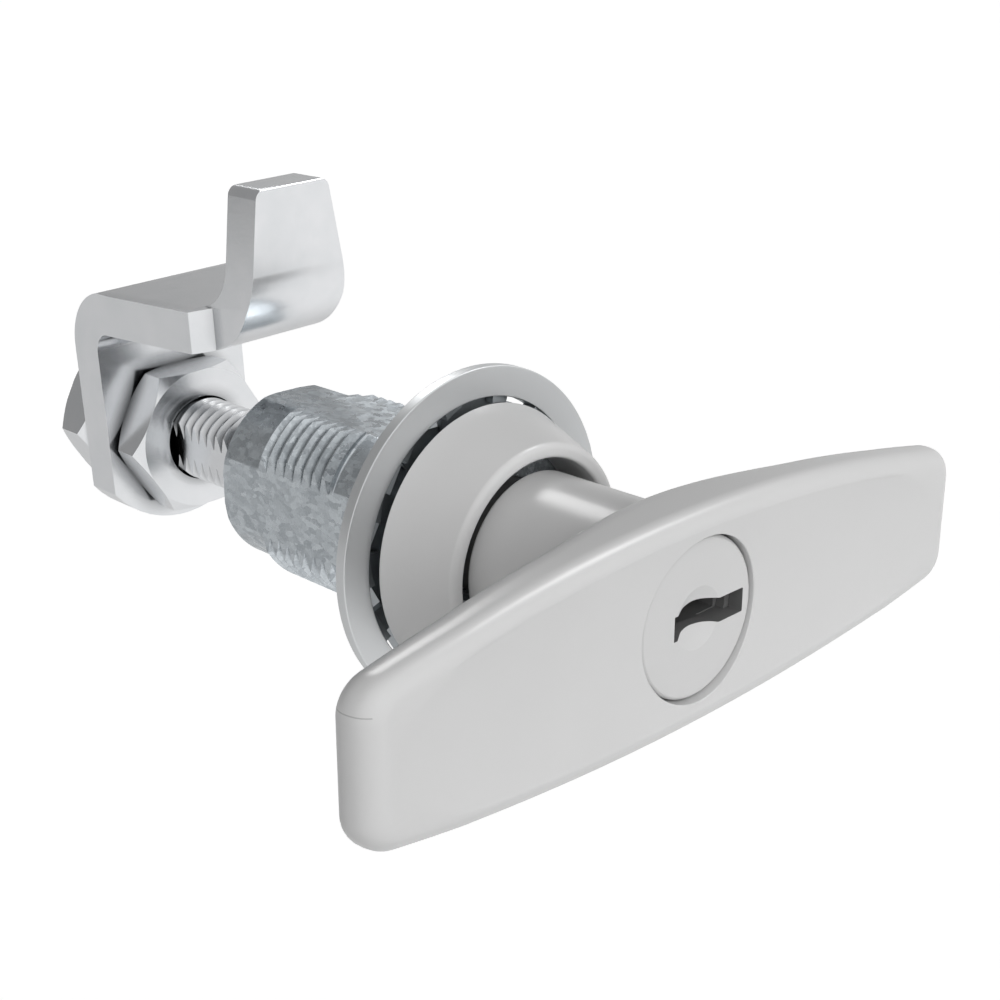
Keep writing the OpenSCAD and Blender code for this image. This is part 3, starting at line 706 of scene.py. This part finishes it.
@dataclass
class Housing:
    """The fixed half: bezel, barrel, gasket, panel nut and rear ring."""

    bezel_lip_r: float = 11.85
    bezel_bore_r: float = 10.4
    bezel_seat_r: float = 14.4
    bezel_h: float = 7.7
    flange_r: float = 12.6
    flange_t: float = 1.9
    flat: float = 9.4
    crest: float = 11.0
    root: float = 10.15
    pitch: float = 1.5
    relief_r: float = 10.3
    tail_r: float = 10.05
    length: float = 32.15
    neck_bore: float = 7.25
    sleeve_bore: float = 7.9
    step_y: float = 6.29
    clip_y: float = 30.25
    clip_w: float = 1.05
    clip_depth: float = 0.55
    front_thread: tuple[float, float] = (0.9, 9.05)
    rear_thread: tuple[float, float] = (12.9, 25.55)
    lug_r: tuple[float, float] = (7.5, 10.38)
    lug_y: float = -6.15
    lug_turn: tuple[float, float] = (194, 330)
    ring_r: float = 18.05
    ring_bore: float = 14.85
    ring_y: float = 0.93
    ring_t: float = 1.42
    tooth_count: int = 14
    tooth_from: float = 18.3
    tooth_span: float = 12.0
    tooth_r: tuple[float, float] = (14.15, 14.95)
    tooth_low: float = 1.95
    tooth_rise: float = 0.95
    web: tuple[float, float] = (2.05, 2.75)
    whole_web: int = 2
    hub_r: float = 14.43
    hub_back: float = 5.95

    def bezel(self) -> None:
        """Turns the light grey cone."""
        Bench().lathe([
            (self.bezel_bore_r, -self.flange_t), (self.bezel_bore_r, -self.bezel_h, 0.45),
            (self.bezel_lip_r, -self.bezel_h, 0.6), (self.bezel_seat_r, -0.15), (self.bezel_seat_r, 0),
            (self.flange_r, 0), (self.flange_r, -self.flange_t),
        ], steps=192).deliver("bezel_cone", Body.HOUSING, Slot.PAINT, GREY_PAINT, ("bezel",))

    def barrel(self) -> None:
        """Turns, threads and flattens the barrel, and adds its flange and stop lug."""
        inner = self.root - 0.05
        shank = Bench().lathe([
            (0, -1.0), (self.relief_r, -1.0), (self.relief_r, 0.95), (inner, 1.05), (inner, 8.95),
            (self.relief_r, 9.1), (self.relief_r, 12.8), (inner, 13.0), (inner, 25.4), (self.tail_r, 25.6),
            (self.tail_r, self.length - 0.5), (self.tail_r - 0.5, self.length), (0, self.length)])
        for span in (self.front_thread, self.rear_thread):
            shank.combine(Bench().thread(*span, self.crest, self.root, self.pitch), Cut.JOIN)
        shank.combine(Bench().block((-self.flat, -2, -self.flat), (self.flat, 40, self.flat)), Cut.COMMON)
        shank.combine(Bench().lathe([(0, -self.flange_t), (self.flange_r - 0.02, -self.flange_t),
                                     (self.flange_r - 0.02, 0, 0.1), (0, 0)]), Cut.JOIN)
        inside, outside = self.lug_r
        lug = Bench().lathe([(inside, self.lug_y), (outside, self.lug_y, 0.3), (outside, -1.8),
                             (inside, -1.8)], *self.lug_turn)
        lug.combine(Bench().block((-3.5, -7.0, -9.7), (3.5, -3.6, -5.0)), Cut.AWAY)
        shank.combine(lug, Cut.JOIN)
        groove = self.sleeve_bore + self.clip_depth
        shank.combine(Bench().lathe([
            (0, -5), (self.neck_bore, -5), (self.neck_bore, self.step_y), (self.sleeve_bore, self.step_y),
            (self.sleeve_bore, self.clip_y), (groove, self.clip_y), (groove, self.clip_y + self.clip_w),
            (self.sleeve_bore, self.clip_y + self.clip_w), (self.sleeve_bore, self.length - 0.4),
            (self.sleeve_bore + 1.4, self.length + 1), (0, self.length + 1)]), Cut.AWAY)
        shank.combine(Bench().lathe([(11, -1), (12, -1), (12, 1), (11, 1)]), Cut.AWAY)
        shank.deliver("threaded_barrel", Body.HOUSING, Slot.GALVANISED, GALVANISED, ("barrel",), crease=28)

    def panel_nut(self) -> None:
        """Turns the ring, presses its ramped teeth and adds the hexagon hub."""
        front, back = self.ring_y, self.ring_y + self.ring_t
        near, far = self.web
        pitch = 360 / self.tooth_count
        corners = [math.radians(60 * i) for i in range(6)]
        hub = Bench().plate(Side.Y, [(self.hub_r * math.cos(a), self.hub_r * math.sin(a)) for a in corners],
                            2.7, self.hub_back)
        hub.combine(Bench().lathe([(0, 2), (15, 2), (15, 5.3), (13.6, 6.1), (0, 6.1)]), Cut.COMMON)
        ring = Bench().lathe([
            (self.ring_bore, front, 0.12), (self.ring_r, front, 0.14), (self.ring_r, back, 0.3),
            (16.0, back), (16.0, far), (12.4, far), (12.4, near), (self.ring_bore, near)], steps=192)
        gaps = Bench()
        for i in set(range(self.tooth_count)) - {self.whole_web}:
            start = self.tooth_from + self.tooth_span + i * pitch
            gaps.lathe([(12.3, 1.9), (self.ring_bore, 1.9), (self.ring_bore, 3), (12.3, 3)],
                       start, start + pitch - self.tooth_span)
        ring.combine(gaps, Cut.AWAY)
        ring.combine(hub, Cut.JOIN)
        bore = self.crest + 0.05
        ring.combine(Bench().lathe([(0, 0), (bore, 0), (bore, 8), (0, 8)]), Cut.AWAY)
        piece = ring.deliver("panel_nut_ring", Body.HOUSING, Slot.SATIN, RING_ZINC, ("panel_nut",))
        # Painted shade: the inner faces behind the teeth get the darker zinc.
        recoat(piece, ZINC_IN_SHADE, lambda middle, normal: middle.y < 4.0
               and math.hypot(middle.x, middle.z) < 14.9)
        teeth = Bench()
        inside, outside = self.tooth_r
        for i in range(self.tooth_count):
            start = self.tooth_from + i * pitch
            old = set(teeth.mesh.verts)
            teeth.lathe([(inside, 1.0), (outside, 1.0), (outside, 2.4), (inside, 2.4)],
                        start, start + self.tooth_span, steps=240)
            for point in teeth.mesh.verts:
                if point not in old and point.co.y < 1.5:
                    turn = (math.degrees(math.atan2(point.co.z, point.co.x)) - start) % 360
                    share = min(turn / self.tooth_span, 1.0) if turn < 180 else 0
                    point.co.y = self.tooth_low - self.tooth_rise * share
        # The teeth get the darker zinc too, as painted shade.
        teeth.deliver("panel_nut_teeth", Body.HOUSING, Slot.SATIN, ZINC_IN_SHADE)

    def build(self) -> None:
        """Builds and dresses the fixed half."""
        self.bezel()
        self.barrel()
        self.panel_nut()
        dress("panel_gasket", NITRILE)
        dress("rear_clip", DRAWN_STEEL)


@dataclass
class Handle:
    """The grip with its stem, and what turns with it."""

    front: float = -28.97
    front_bow: float = 0.00026
    hollow_depth: float = 1.1
    hollow_x: float = 38.6
    hollow_z: float = 11.0
    hollow_crisp: float = 0.8
    half_h: float = 10.85
    fall: float = 0.00235
    half_l: float = 40.75
    corner: float = 3.3
    back: float = -21.9
    back_curve: float = 0.0018
    swell: float = 1.35
    front_round: float = 1.85
    back_round: float = 3.3
    side_draft: float = 0.3
    end_draft: float = 0.95
    mouth_r: float = 8.12
    mouth_round: float = 0.09
    floor_y: float = -26.1
    coil_turns: float = 4.4
    coil_r: float = 2.6
    coil_wire: float = 0.4
    stem_r: float = 9.0
    stem_top: float = -24.0
    stem_y: float = -6.6
    seal_r: float = 5.93
    seal_y: tuple[float, float] = (2.29, 4.13)
    bore_r: float = 6.0
    bore_y: float = -6.35
    tail_r: float = 2.8
    tail_y: float = -1.3
    screw_r: float = 1.55
    socket_r: float = 4.9
    socket_y: float = 2.0
    neck_r: float = 7.2
    neck_y: float = 5.99

    def outline(self) -> list[tuple[float, float, float, float]]:
        """Draws the grip's outline as seen from the front.

        Returns:
            Place and outward direction of each point: x, z, direction x, direction z.
        """
        slope = math.atan(2 * self.fall * (self.half_l - self.corner * 0.8))
        tangent_x = self.half_l - self.corner * (1 - math.sin(slope))
        centre = (self.half_l - self.corner,
                  self.half_h - self.fall * tangent_x ** 2 - self.corner * math.cos(slope))
        quarter = []
        for i in range(33):
            x = tangent_x * i / 33
            lean = math.atan(2 * self.fall * x)
            quarter.append((x, self.half_h - self.fall * x * x, math.sin(lean), math.cos(lean)))
        for i in range(13):
            angle = (math.pi / 2 - slope) * (1 - i / 12)
            across, up = math.cos(angle), math.sin(angle)
            quarter.append((centre[0] + self.corner * across, centre[1] + self.corner * up, across, up))
        for share in (0.66, 0.33):
            quarter.append((self.half_l, centre[1] * share, 1.0, 0.0))
        right = quarter + [(self.half_l, 0.0, 1.0, 0.0)]
        right += [(x, -z, u, -v) for x, z, u, v in reversed(quarter)]
        return right + [(-x, -z, -u, -v) for x, z, u, v in right[1:-1]]

    def front_y(self, x: float) -> float:
        """Gives the place of the border round the grip's front, which bows forward at the ends."""
        return self.front - self.front_bow * x * x

    def hollow(self, x: float, z: float) -> float:
        """Gives the place of the grip's front, which is hollowed in the shape of a lens."""
        inside = max(1 - (x / self.hollow_x) ** 2 - (z / self.hollow_z) ** 2, 0)
        return self.front_y(x) + self.hollow_depth * inside ** self.hollow_crisp

    def rim_y(self, x: float) -> float:
        """Gives the place where the hollow, or else the border, meets the rounding of the front edge."""
        z = self.half_h - self.fall * x * x - self.front_round
        return self.hollow(x, z)

    def back_y(self, x: float) -> float:
        """Gives the place of the grip's back, which swells round the stem."""
        near = max(1 - (x / (2 * self.stem_r)) ** 2, 0)
        return self.back - self.back_curve * x * x + self.swell * near ** 2

    def back_r(self, x: float) -> float:
        """Gives the rounding of the grip's back edge."""
        return min(self.back_round, (self.back_y(x) - self.front_y(x) - self.front_round) * 0.86)

    def level(self, place: Callable[[float], tuple[float, float]]) -> list[Vector]:
        """Places the outline's points at one level of the grip, standing out by their share of the draft.

        Args:
            place: Gives the place along the axis and the inset from x.

        Returns:
            The points of the level.
        """
        points = []
        for x, z, u, v in self.outline():
            y, inset = place(x)
            share = (y - self.front_y(x)) / (self.back_y(x) - self.front_y(x))
            out = (self.side_draft * v * v + self.end_draft * u * u) * share - inset
            points.append(Vector((x + u * out, y, z + v * out)))
        return points

    def grip(self) -> Bench:
        """Grows the grip from the middle of its hollow front over both roundings to its back.

        Returns:
            A bench with the grip.
        """
        bench = Bench()
        flat = self.level(lambda x: (self.rim_y(x), self.front_round))
        loops = []
        for share in (0.06, 0.14, 0.22, 0.3, 0.4, 0.5, 0.6, 0.7, 0.8, 0.9, 0.975, 1.0, 1.015):
            loop = []
            for point in flat:
                reach = math.hypot(point.x / self.hollow_x, point.z / self.hollow_z)
                near = point * (min(1 / reach, 0.98) * share)
                loop.append(Vector((near.x, self.hollow(near.x, near.z), near.z)))
            loops.append(loop)
        loops.append(flat)
        for i in range(1, 9):
            angle = math.radians(90 * i / 8)
            loops.append(self.level(lambda x: (self.rim_y(x) + self.front_round * (1 - math.cos(angle)),
                                               self.front_round * (1 - math.sin(angle)))))
        for i in range(9):
            angle = math.radians(90 * i / 8)
            loops.append(self.level(lambda x: (self.back_y(x) - self.back_r(x) * (1 - math.sin(angle)),
                                               self.back_r(x) * (1 - math.cos(angle)))))
        last = bench.grow(loops)
        flats = [edge for edge in last if all(abs(v.co.x) < 37.0 for v in edge.verts)]
        bmesh.ops.bridge_loops(bench.mesh, edges=flats)
        return bench.close()

    def mouth(self) -> Bench:
        """Grows the cutter for the lock's mouth, with an edge that follows the hollow.

        Returns:
            A bench with the cutter.
        """
        outer = self.mouth_r + self.mouth_round
        loops = []
        rows = [(outer, -4.0)] + [(outer - self.mouth_round * math.sin(math.radians(a)),
                                   0.01 + self.mouth_round * (1 - math.cos(math.radians(a))))
                                  for a in (0, 30, 60, 90)]
        around = [(math.cos(math.tau * i / 128), math.sin(math.tau * i / 128)) for i in range(128)]
        for radius, drop in rows:
            loops.append([Vector((radius * x, self.hollow(outer * x, outer * z) + drop, radius * z))
                          for x, z in around])
        loops.append([Vector((point.x, self.floor_y, point.z)) for point in loops[-1]])
        bench = Bench()
        bench.grow(loops)
        return bench.close()

    def build(self) -> None:
        """Builds and dresses the handle and what rides on it."""
        seal_front, seal_back = self.seal_y
        body = self.grip()
        body.combine(Bench().lathe([
            (0, self.stem_top), (self.stem_r, self.stem_top), (self.stem_r, self.stem_y, 0.3),
            (self.neck_r, self.stem_y), (self.neck_r, seal_front), (self.seal_r, seal_front),
            (self.seal_r, seal_back), (self.neck_r, seal_back), (self.neck_r, self.neck_y, 0.2),
            (0, self.neck_y)]), Cut.JOIN)
        body.combine(Bench().lathe([(6.0, -7.0), (10.0, -7.0), (10.0, -2.2), (6.0, -2.2)], -28, 12),
                     Cut.JOIN)
        body.combine(self.mouth(), Cut.AWAY)
        body.combine(Bench().lathe([
            (0, -27), (self.bore_r, -27), (self.bore_r, self.bore_y), (self.tail_r, self.bore_y),
            (self.tail_r, self.tail_y), (self.screw_r, self.tail_y), (self.screw_r, self.socket_y),
            (self.socket_r, self.socket_y), (self.socket_r, 7.0), (0, 7.0)]), Cut.AWAY)
        body.combine(Bench().block((-3.25, -6.45, -12), (3.25, -3.75, 5.95)), Cut.AWAY)
        piece = body.deliver("grip_and_stem", Body.HANDLE, Slot.PAINT, GRIP_PAINT, ("handle",), crease=35)
        # Painted shade: the neck inside the barrel and the floor of the mouth get the dark grey.
        recoat(piece, RECESS_SHADE, lambda middle, normal: middle.y > self.stem_y + 0.1
               or middle.y > self.floor_y - 0.1 and math.hypot(middle.x, middle.z) < 6.9)
        coil = Bench()
        section = bmesh.ops.create_circle(coil.mesh, segments=12, radius=self.coil_wire)["verts"]
        bmesh.ops.translate(coil.mesh, vec=(self.coil_r, 4.9, 0), verts=section)
        steps = self.coil_turns * 32
        bmesh.ops.spin(coil.mesh, geom=section + coil.mesh.edges[:], cent=(0, 0, 0), axis=(0, 1, 0),
                       dvec=(0, 3.4 / steps, 0), angle=math.tau * self.coil_turns, steps=int(steps))
        coil.close().deliver("return_coil", Body.HANDLE, Slot.SPRING, DRAWN_STEEL, ("return_spring",))
        for node in ("driver", "driver_screw", "driver_ring", "plug_keeper_pin"):
            dress(node, DRAWN_STEEL)
        dress("stem_seal", NITRILE)


@dataclass
class Lock:
    """The lock plug with its keyway, wafers and tail disc, and the bolt that it moves."""

    dish: tuple[Corner, ...] = ((0, 0.6), (0.8, 0.56), (1.6, 0.45), (2.4, 0.25), (3.1, 0.02), (3.16, 0))
    face_y: float = -27.7
    face_r: float = 7.95
    seat_y: float = -26.1
    body_r: float = 5.95
    end_y: float = -8.5
    wafer_count: int = 5
    wafer_y: float = -23.1
    wafer_pitch: float = 1.9

    def keyway(self) -> Bench:
        """Draws the warded keyway's mouth: a straight slot on the right that bows up on the left.

        Returns:
            A bench with the cutter.
        """
        return Bench().plate(Side.Y, [
            (-3.38, 1.12), (-2.85, 1.12), (-2.3, 1.62, 0.25), (-0.85, 1.8, 0.5), (0.6, 1.66, 0.4),
            (1.95, 1.37, 0.4), (3.2, 1.1), (6.65, 1.1, 0.15), (6.65, -1.32, 0.15), (3.2, -1.36),
            (2.1, -1.02, 0.4), (0.78, -0.8, 0.4), (-0.95, -0.64, 0.5), (-2.2, -0.78, 0.3),
            (-2.85, -1.36, 0.1), (-3.38, -1.36)], -29.0, -25.2, segments=4)

    def in_recess_shade(self, middle: Vector, normal: Vector) -> bool:
        """Says which faces of the plug get the dark grey of painted shade.

        Args:
            middle: Middle of a face, in millimetres.
            normal: Its normal.

        Returns:
            Whether the face lies in the keyway or in the plug's body.
        """
        if middle.y > self.seat_y:
            return math.hypot(middle.x, middle.z) < self.body_r - 0.1
        walls = middle.y > self.face_y + 0.7 or abs(normal.y) < 0.5
        return walls and abs(middle.z) < 1.95 and -3.5 < middle.x < 6.8 and middle.y > self.face_y + 0.05

    def build(self) -> None:
        """Builds and dresses the lock."""
        dish = [(radius, self.face_y + depth) for radius, depth in self.dish]
        shoulder = self.seat_y - 0.05
        plug = Bench().lathe(dish + [
            (self.face_r, self.face_y, 0.5), (self.face_r, shoulder), (self.body_r, shoulder),
            (self.body_r, -12.75), (5.0, -12.75), (5.0, -11.05), (self.body_r, -11.05),
            (self.body_r, self.end_y), (0, self.end_y)])
        plug.combine(Bench().block((-1.5, -9.5, -1.5), (1.5, -7.52, 1.5)), Cut.JOIN)
        plug.combine(self.keyway(), Cut.AWAY)
        plug.combine(Bench().block((-3.38, -26.0, -1.25), (5.4, -13.4, 1.05)), Cut.AWAY)
        slits = Bench()
        for i in range(self.wafer_count):
            place = self.wafer_y + self.wafer_pitch * i
            slits.block((-4.0, place - 0.05, -10), (4.6, place + 0.85, 10))
        plug.combine(slits, Cut.AWAY)
        piece = plug.deliver("plug_and_keyway", Body.PLUG, Slot.PLUG, PLUG_PAINT, ("lock_plug",), crease=20)
        # Painted shade: the keyway and the plug's body get the dark grey.
        recoat(piece, RECESS_SHADE, self.in_recess_shade)
        dress("plug_wafers", STAMPED_BRASS)
        dress("plug_tail_disc", BRIGHT_ZINC)
        dress("lock_bolt", BRIGHT_ZINC)


@dataclass
class Drawbar:
    """What is drawn in and swung behind the panel: stud, nuts, washer and cam."""

    stud_r: float = 5.0
    root_r: float = 4.15
    pitch: float = 1.5
    flat: float = 4.0
    end_y: float = 68.75
    nut_half: float = 8.5
    face_r: float = 8.6
    corner_r: float = 9.815
    nut_chamfer: float = 1.1
    cam_y: float = 54.05
    cam_t: float = 4.9
    cam_w: float = 10.3
    cam_under: float = 14.65
    cam_rise: float = 0.5
    tab_y: float = 27.65
    tab_z: float = 33.5
    tab_w: tuple[float, float] = (6.8, 4.8)
    foot_r: float = 12.6
    foot_z: float = 1.4

    def hand_over(self, bench: Bench, name: str, node: str, crease: float = 25.0, edge: float = 0.0) -> None:
        """Turns a piece to where it stands at rest, and delivers it.

        Args:
            bench: The piece's shape.
            name: Name of the piece.
            node: The CAD node that it replaces.
            crease: Angle above which an edge stays sharp, in degrees.
            edge: Width of a small bevel on every sharp edge, in millimetres.
        """
        bench.turn(REST_TURN).deliver(name, Body.DRAWBAR, Slot.PLATED, BRIGHT_ZINC, (node,), crease, edge)

    def stud(self) -> None:
        """Turns, threads and flattens the stud."""
        bar = Bench().lathe([
            (0, 8.69), (4.2, 8.69, 0.3), (4.2, 21.69), (4.7, 21.69), (self.stud_r, 21.99),
            (self.stud_r, 33.4), (self.root_r - 0.05, 34.2), (self.root_r - 0.05, 68.3),
            (self.root_r - 0.4, self.end_y), (0, self.end_y)])
        bar.combine(Bench().thread(33.2, 68.4, self.stud_r, self.root_r, self.pitch, 64), Cut.JOIN)
        for side in (-1, 1):
            near, far = sorted((side * self.flat, side * 8))
            bar.combine(Bench().block((near, 20.75, -8), (far, 80, 8)), Cut.AWAY)
        self.hand_over(bar, "threaded_stud", "draw_stud", 28)

    def nut(self, name: str, node: str, y0: float, y1: float) -> None:
        """Turns a nut's chamfers, and cuts its six flats.

        Args:
            name: Name of the piece.
            node: The CAD node that it replaces.
            y0: Its front face.
            y1: Its rear face.
        """
        bore = self.stud_r + 0.05
        bench = Bench().lathe([
            (bore + 0.15, y0), (self.face_r, y0), (self.corner_r + 0.02, y0 + self.nut_chamfer),
            (self.corner_r + 0.02, y1 - self.nut_chamfer), (self.face_r, y1), (bore + 0.15, y1),
            (bore, y1 - 0.15), (bore, y0 + 0.15)], steps=192)
        for i in range(6):
            angle = math.radians(30 + 60 * i)
            away = (math.cos(angle), 0, math.sin(angle))
            bench.saw(tuple(self.nut_half * part for part in away), away)
        self.hand_over(bench, name, node, edge=0.12)

    def washer(self) -> None:
        """Coils the split washer."""
        bore, rim, front, back = self.stud_r + 0.05, 8.4, self.cam_y + self.cam_t, 61.15
        ring = Bench().lathe([(bore, front, 0.15), (rim, front, 0.3), (rim, back, 0.3), (bore, back, 0.15)],
                             45, 395)
        self.hand_over(ring, "split_washer", "lock_washer", 33)

    def cam(self) -> None:
        """Bends the cam plate, and cuts its outline and its hole."""
        back, tab_back = self.cam_y + self.cam_t, self.tab_y + self.cam_t
        under, over = self.cam_under, self.cam_under + self.cam_t
        side = Bench().plate(Side.X, [
            (self.cam_y, -20), (back, -20), (back, over, 7.5), (tab_back, over + self.cam_rise, 4.35),
            (tab_back, self.tab_z, 0.35), (self.tab_y, self.tab_z, 0.35),
            (self.tab_y, under + self.cam_rise, 9.25), (self.cam_y, under, 2.6)], -15, 15, segments=16)
        half, (root, tip) = self.cam_w, self.tab_w
        reach = math.degrees(math.asin(half / self.foot_r))
        foot = [math.radians(270 - reach + reach * i / 8) for i in range(17)]
        front = Bench().plate(Side.Y, [(self.foot_r * math.cos(a), self.foot_z + self.foot_r * math.sin(a))
                                       for a in foot] + [
            (half, 19.55), (root, 20.05), (tip, self.tab_z, 1.1), (-tip, self.tab_z, 1.1), (-root, 20.05),
            (-half, 19.55)], 0, 80)
        right = [(half, 60), (half, 50.45), (8.95, 36.4), (root, 34.8), (root, 26)]
        top = Bench().plate(Side.Z, right + [(-x, y) for x, y in reversed(right)], -20, 40)
        side.combine(front, Cut.COMMON).combine(top, Cut.COMMON)
        hole = Bench().lathe([(0, 50), (5.05, 50), (5.05, 62), (0, 62)])
        hole.combine(Bench().block((-4.05, 49, -8), (4.05, 63, 8)), Cut.COMMON)
        side.combine(hole, Cut.AWAY)
        self.hand_over(side, "bent_cam", "cam", edge=0.25)

    def build(self) -> None:
        """Builds and dresses the drawbar."""
        self.stud()
        self.nut("nut_in_front", "front_nut", 48.9, 54.05)
        self.nut("nut_behind", "rear_nut", 61.15, 66.75)
        self.washer()
        self.cam()
        dress("cross_pin", DRAWN_STEEL)


@dataclass(frozen=True)
class Softbox:
    """A square lamp that faces the latch and only draws highlights."""

    name: str
    way: Place
    size: float
    power: float
    distance: float = 0.55

    def hang(self) -> None:
        """Hangs the lamp."""
        data = bpy.data.lights.new(self.name, "AREA")
        data.size = self.size
        data.energy = self.power
        obj = bpy.data.objects.new(self.name, data)
        towards = Vector(self.way).normalized()
        obj.location = towards * self.distance
        obj.rotation_euler = (-towards).to_track_quat("-Z", "Y").to_euler()
        obj.visible_diffuse = False
        bpy.context.scene.collection.objects.link(obj)


@dataclass
class Studio:
    """Pale floor, soft lamps, grey canopy and camera."""

    lens: float = 59.04
    place: Place = (-0.10978, -0.11188, 0.06143)
    tilt: float = 70.0
    heading: float = -45.0
    floor_tone: str = "#CCCCCC"
    floor_glow: float = 0.7
    floor_mm: float = 20000.0
    floor_z: float = -0.12
    dim_y: float = 0.14
    dim_share: float = 0.5
    slope: Place = (-0.62, -2.4, -0.18)
    least_light: float = 0.14
    canopy_mm: float = 2500.0
    canopy_way: Place = (-0.25, 0.75, 0.61)
    canopy_reach: float = 0.8
    canopy_low: float = 0.34
    softboxes: tuple[Softbox, ...] = (
        Softbox("key_softbox", (0.588, -0.313, 0.745), 0.14, 0.45),
        Softbox("top_softbox", (0.33, 0.64, 0.70), 0.16, 0.5),
    )

    def camera(self) -> None:
        """Sets the camera where the photograph was taken from."""
        data = bpy.data.cameras.new("camera")
        data.lens = self.lens
        data.sensor_width = 36
        data.clip_start = 0.005
        obj = bpy.data.objects.new("camera", data)
        obj.location = self.place
        obj.rotation_euler = (math.radians(self.tilt), 0, math.radians(self.heading))
        bpy.context.scene.collection.objects.link(obj)
        bpy.context.scene.camera = obj

    def seen(self, tree: Tree, glossy: Socket | None = None) -> Socket:
        """Adds up the rays that see the white of the surroundings.

        Args:
            tree: The tree that gets the nodes.
            glossy: How much of the white shiny surfaces see, or nothing if they see all of it.

        Returns:
            How much of the white a ray sees, from 0 to 1.
        """
        rays = add_node(tree, "LightPath").outputs
        seen, shiny = rays["Is Camera Ray"], rays["Is Glossy Ray"]
        if glossy:
            shiny = add_node(tree, "Math", {"operation": "MULTIPLY"}, {0: shiny, 1: glossy}).outputs[0]
        for ray in (shiny, rays["Is Transmission Ray"]):
            both = {0: seen, 1: ray}
            seen = add_node(tree, "Math", {"operation": "ADD", "use_clamp": True}, both).outputs[0]
        return seen

    def floor(self) -> None:
        """Lays a wide white floor under the latch's soft shadow, duller where the cam reflects it."""
        bench = Bench()
        bmesh.ops.create_grid(bench.mesh, x_segments=1, y_segments=1, size=self.floor_mm)
        bmesh.ops.translate(bench.mesh, vec=(0, 0, self.floor_z * 1000), verts=bench.mesh.verts)
        obj = bench.loose("floor", 0.001)
        material = bpy.data.materials.new("white_paper")
        material.use_nodes = True
        tree = material.node_tree
        shader = tree.nodes["Principled BSDF"]
        shader.inputs["Base Color"].default_value = linear(self.floor_tone)
        shader.inputs["Roughness"].default_value = 0.9
        shader.inputs["Specular IOR Level"].default_value = 0.0
        along = add_node(tree, "SeparateXYZ", {}, {0: add_node(tree, "TexCoord").outputs["Object"]})
        dim = add_node(tree, "MapRange", {"From Max": self.dim_y, "To Min": 1.0, "To Max": self.dim_share},
                       {"Value": along.outputs["Y"]})
        glow = add_node(tree, "Math", {"operation": "MULTIPLY", 1: self.floor_glow},
                        {0: self.seen(tree, dim.outputs["Result"])})
        shader.inputs["Emission Color"].default_value = (1, 1, 1, 1)
        tree.links.new(glow.outputs[0], shader.inputs["Emission Strength"])
        obj.data.materials.append(material)

    def world(self) -> None:
        """Wraps the scene in soft light, brightest from the front and a little from the left."""
        world = bpy.data.worlds.new("studio")
        bpy.context.scene.world = world
        world.use_nodes = True
        tree = world.node_tree
        tree.nodes.clear()
        way = add_node(tree, "TexCoord").outputs["Generated"]
        slope = add_node(tree, "VectorMath", {"operation": "DOT_PRODUCT", 1: self.slope}, {0: way})
        soft = add_node(tree, "Math", {"operation": "MAXIMUM", 1: self.least_light},
                        {0: slope.outputs["Value"]})
        strength = add_node(tree, "Mix", {"data_type": "FLOAT", 3: 1.0},
                            {0: self.seen(tree), 2: soft.outputs[0]})
        light = add_node(tree, "Background", {"Color": (1, 1, 1, 1)}, {"Strength": strength.outputs[0]})
        add_node(tree, "OutputWorld", {}, {"Surface": light.outputs["Background"]})

    def canopy(self) -> None:
        """Hangs a grey canopy above and behind that only shiny surfaces see, to draw the facets."""
        bench = Bench()
        bmesh.ops.create_icosphere(bench.mesh, subdivisions=4, radius=self.canopy_mm)
        obj = bench.loose("canopy", 0.001)
        material = bpy.data.materials.new("canopy_cloth")
        material.use_nodes = True
        tree = material.node_tree
        tree.nodes.clear()
        place = add_node(tree, "TexCoord").outputs["Object"]
        way = add_node(tree, "VectorMath", {"operation": "NORMALIZE"}, {0: place})
        share = add_node(tree, "VectorMath", {"operation": "DOT_PRODUCT", 1: self.canopy_way},
                         {0: way.outputs["Vector"]})
        tone = add_node(tree, "MapRange", {"interpolation_type": "SMOOTHSTEP", "From Max": self.canopy_reach,
                                           "To Min": 1.0, "To Max": self.canopy_low},
                        {"Value": share.outputs["Value"]})
        glow = add_node(tree, "Emission", {"Color": (1, 1, 1, 1)}, {"Strength": tone.outputs["Result"]})
        add_node(tree, "OutputMaterial", {}, {"Surface": glow.outputs[0]})
        obj.data.materials.append(material)
        for ray in ("camera", "diffuse", "shadow", "transmission", "volume_scatter"):
            setattr(obj, f"visible_{ray}", False)

    def build(self) -> None:
        """Sets up the studio."""
        self.camera()
        self.floor()
        self.world()
        for softbox in self.softboxes:
            softbox.hang()
        self.canopy()
        bpy.context.scene.view_settings.view_transform = "Standard"


def main() -> None:
    """Builds the latch and the studio, and logs each piece as it is made."""
    logging.basicConfig(level=logging.INFO, format="%(name)s: %(message)s")
    Housing().build()
    for node in ("guide_sleeve", "guide_plate"):
        dress(node, DRAWN_STEEL)
    Handle().build()
    Lock().build()
    Drawbar().build()
    Studio().build()


if __name__ == "__main__":
    main()
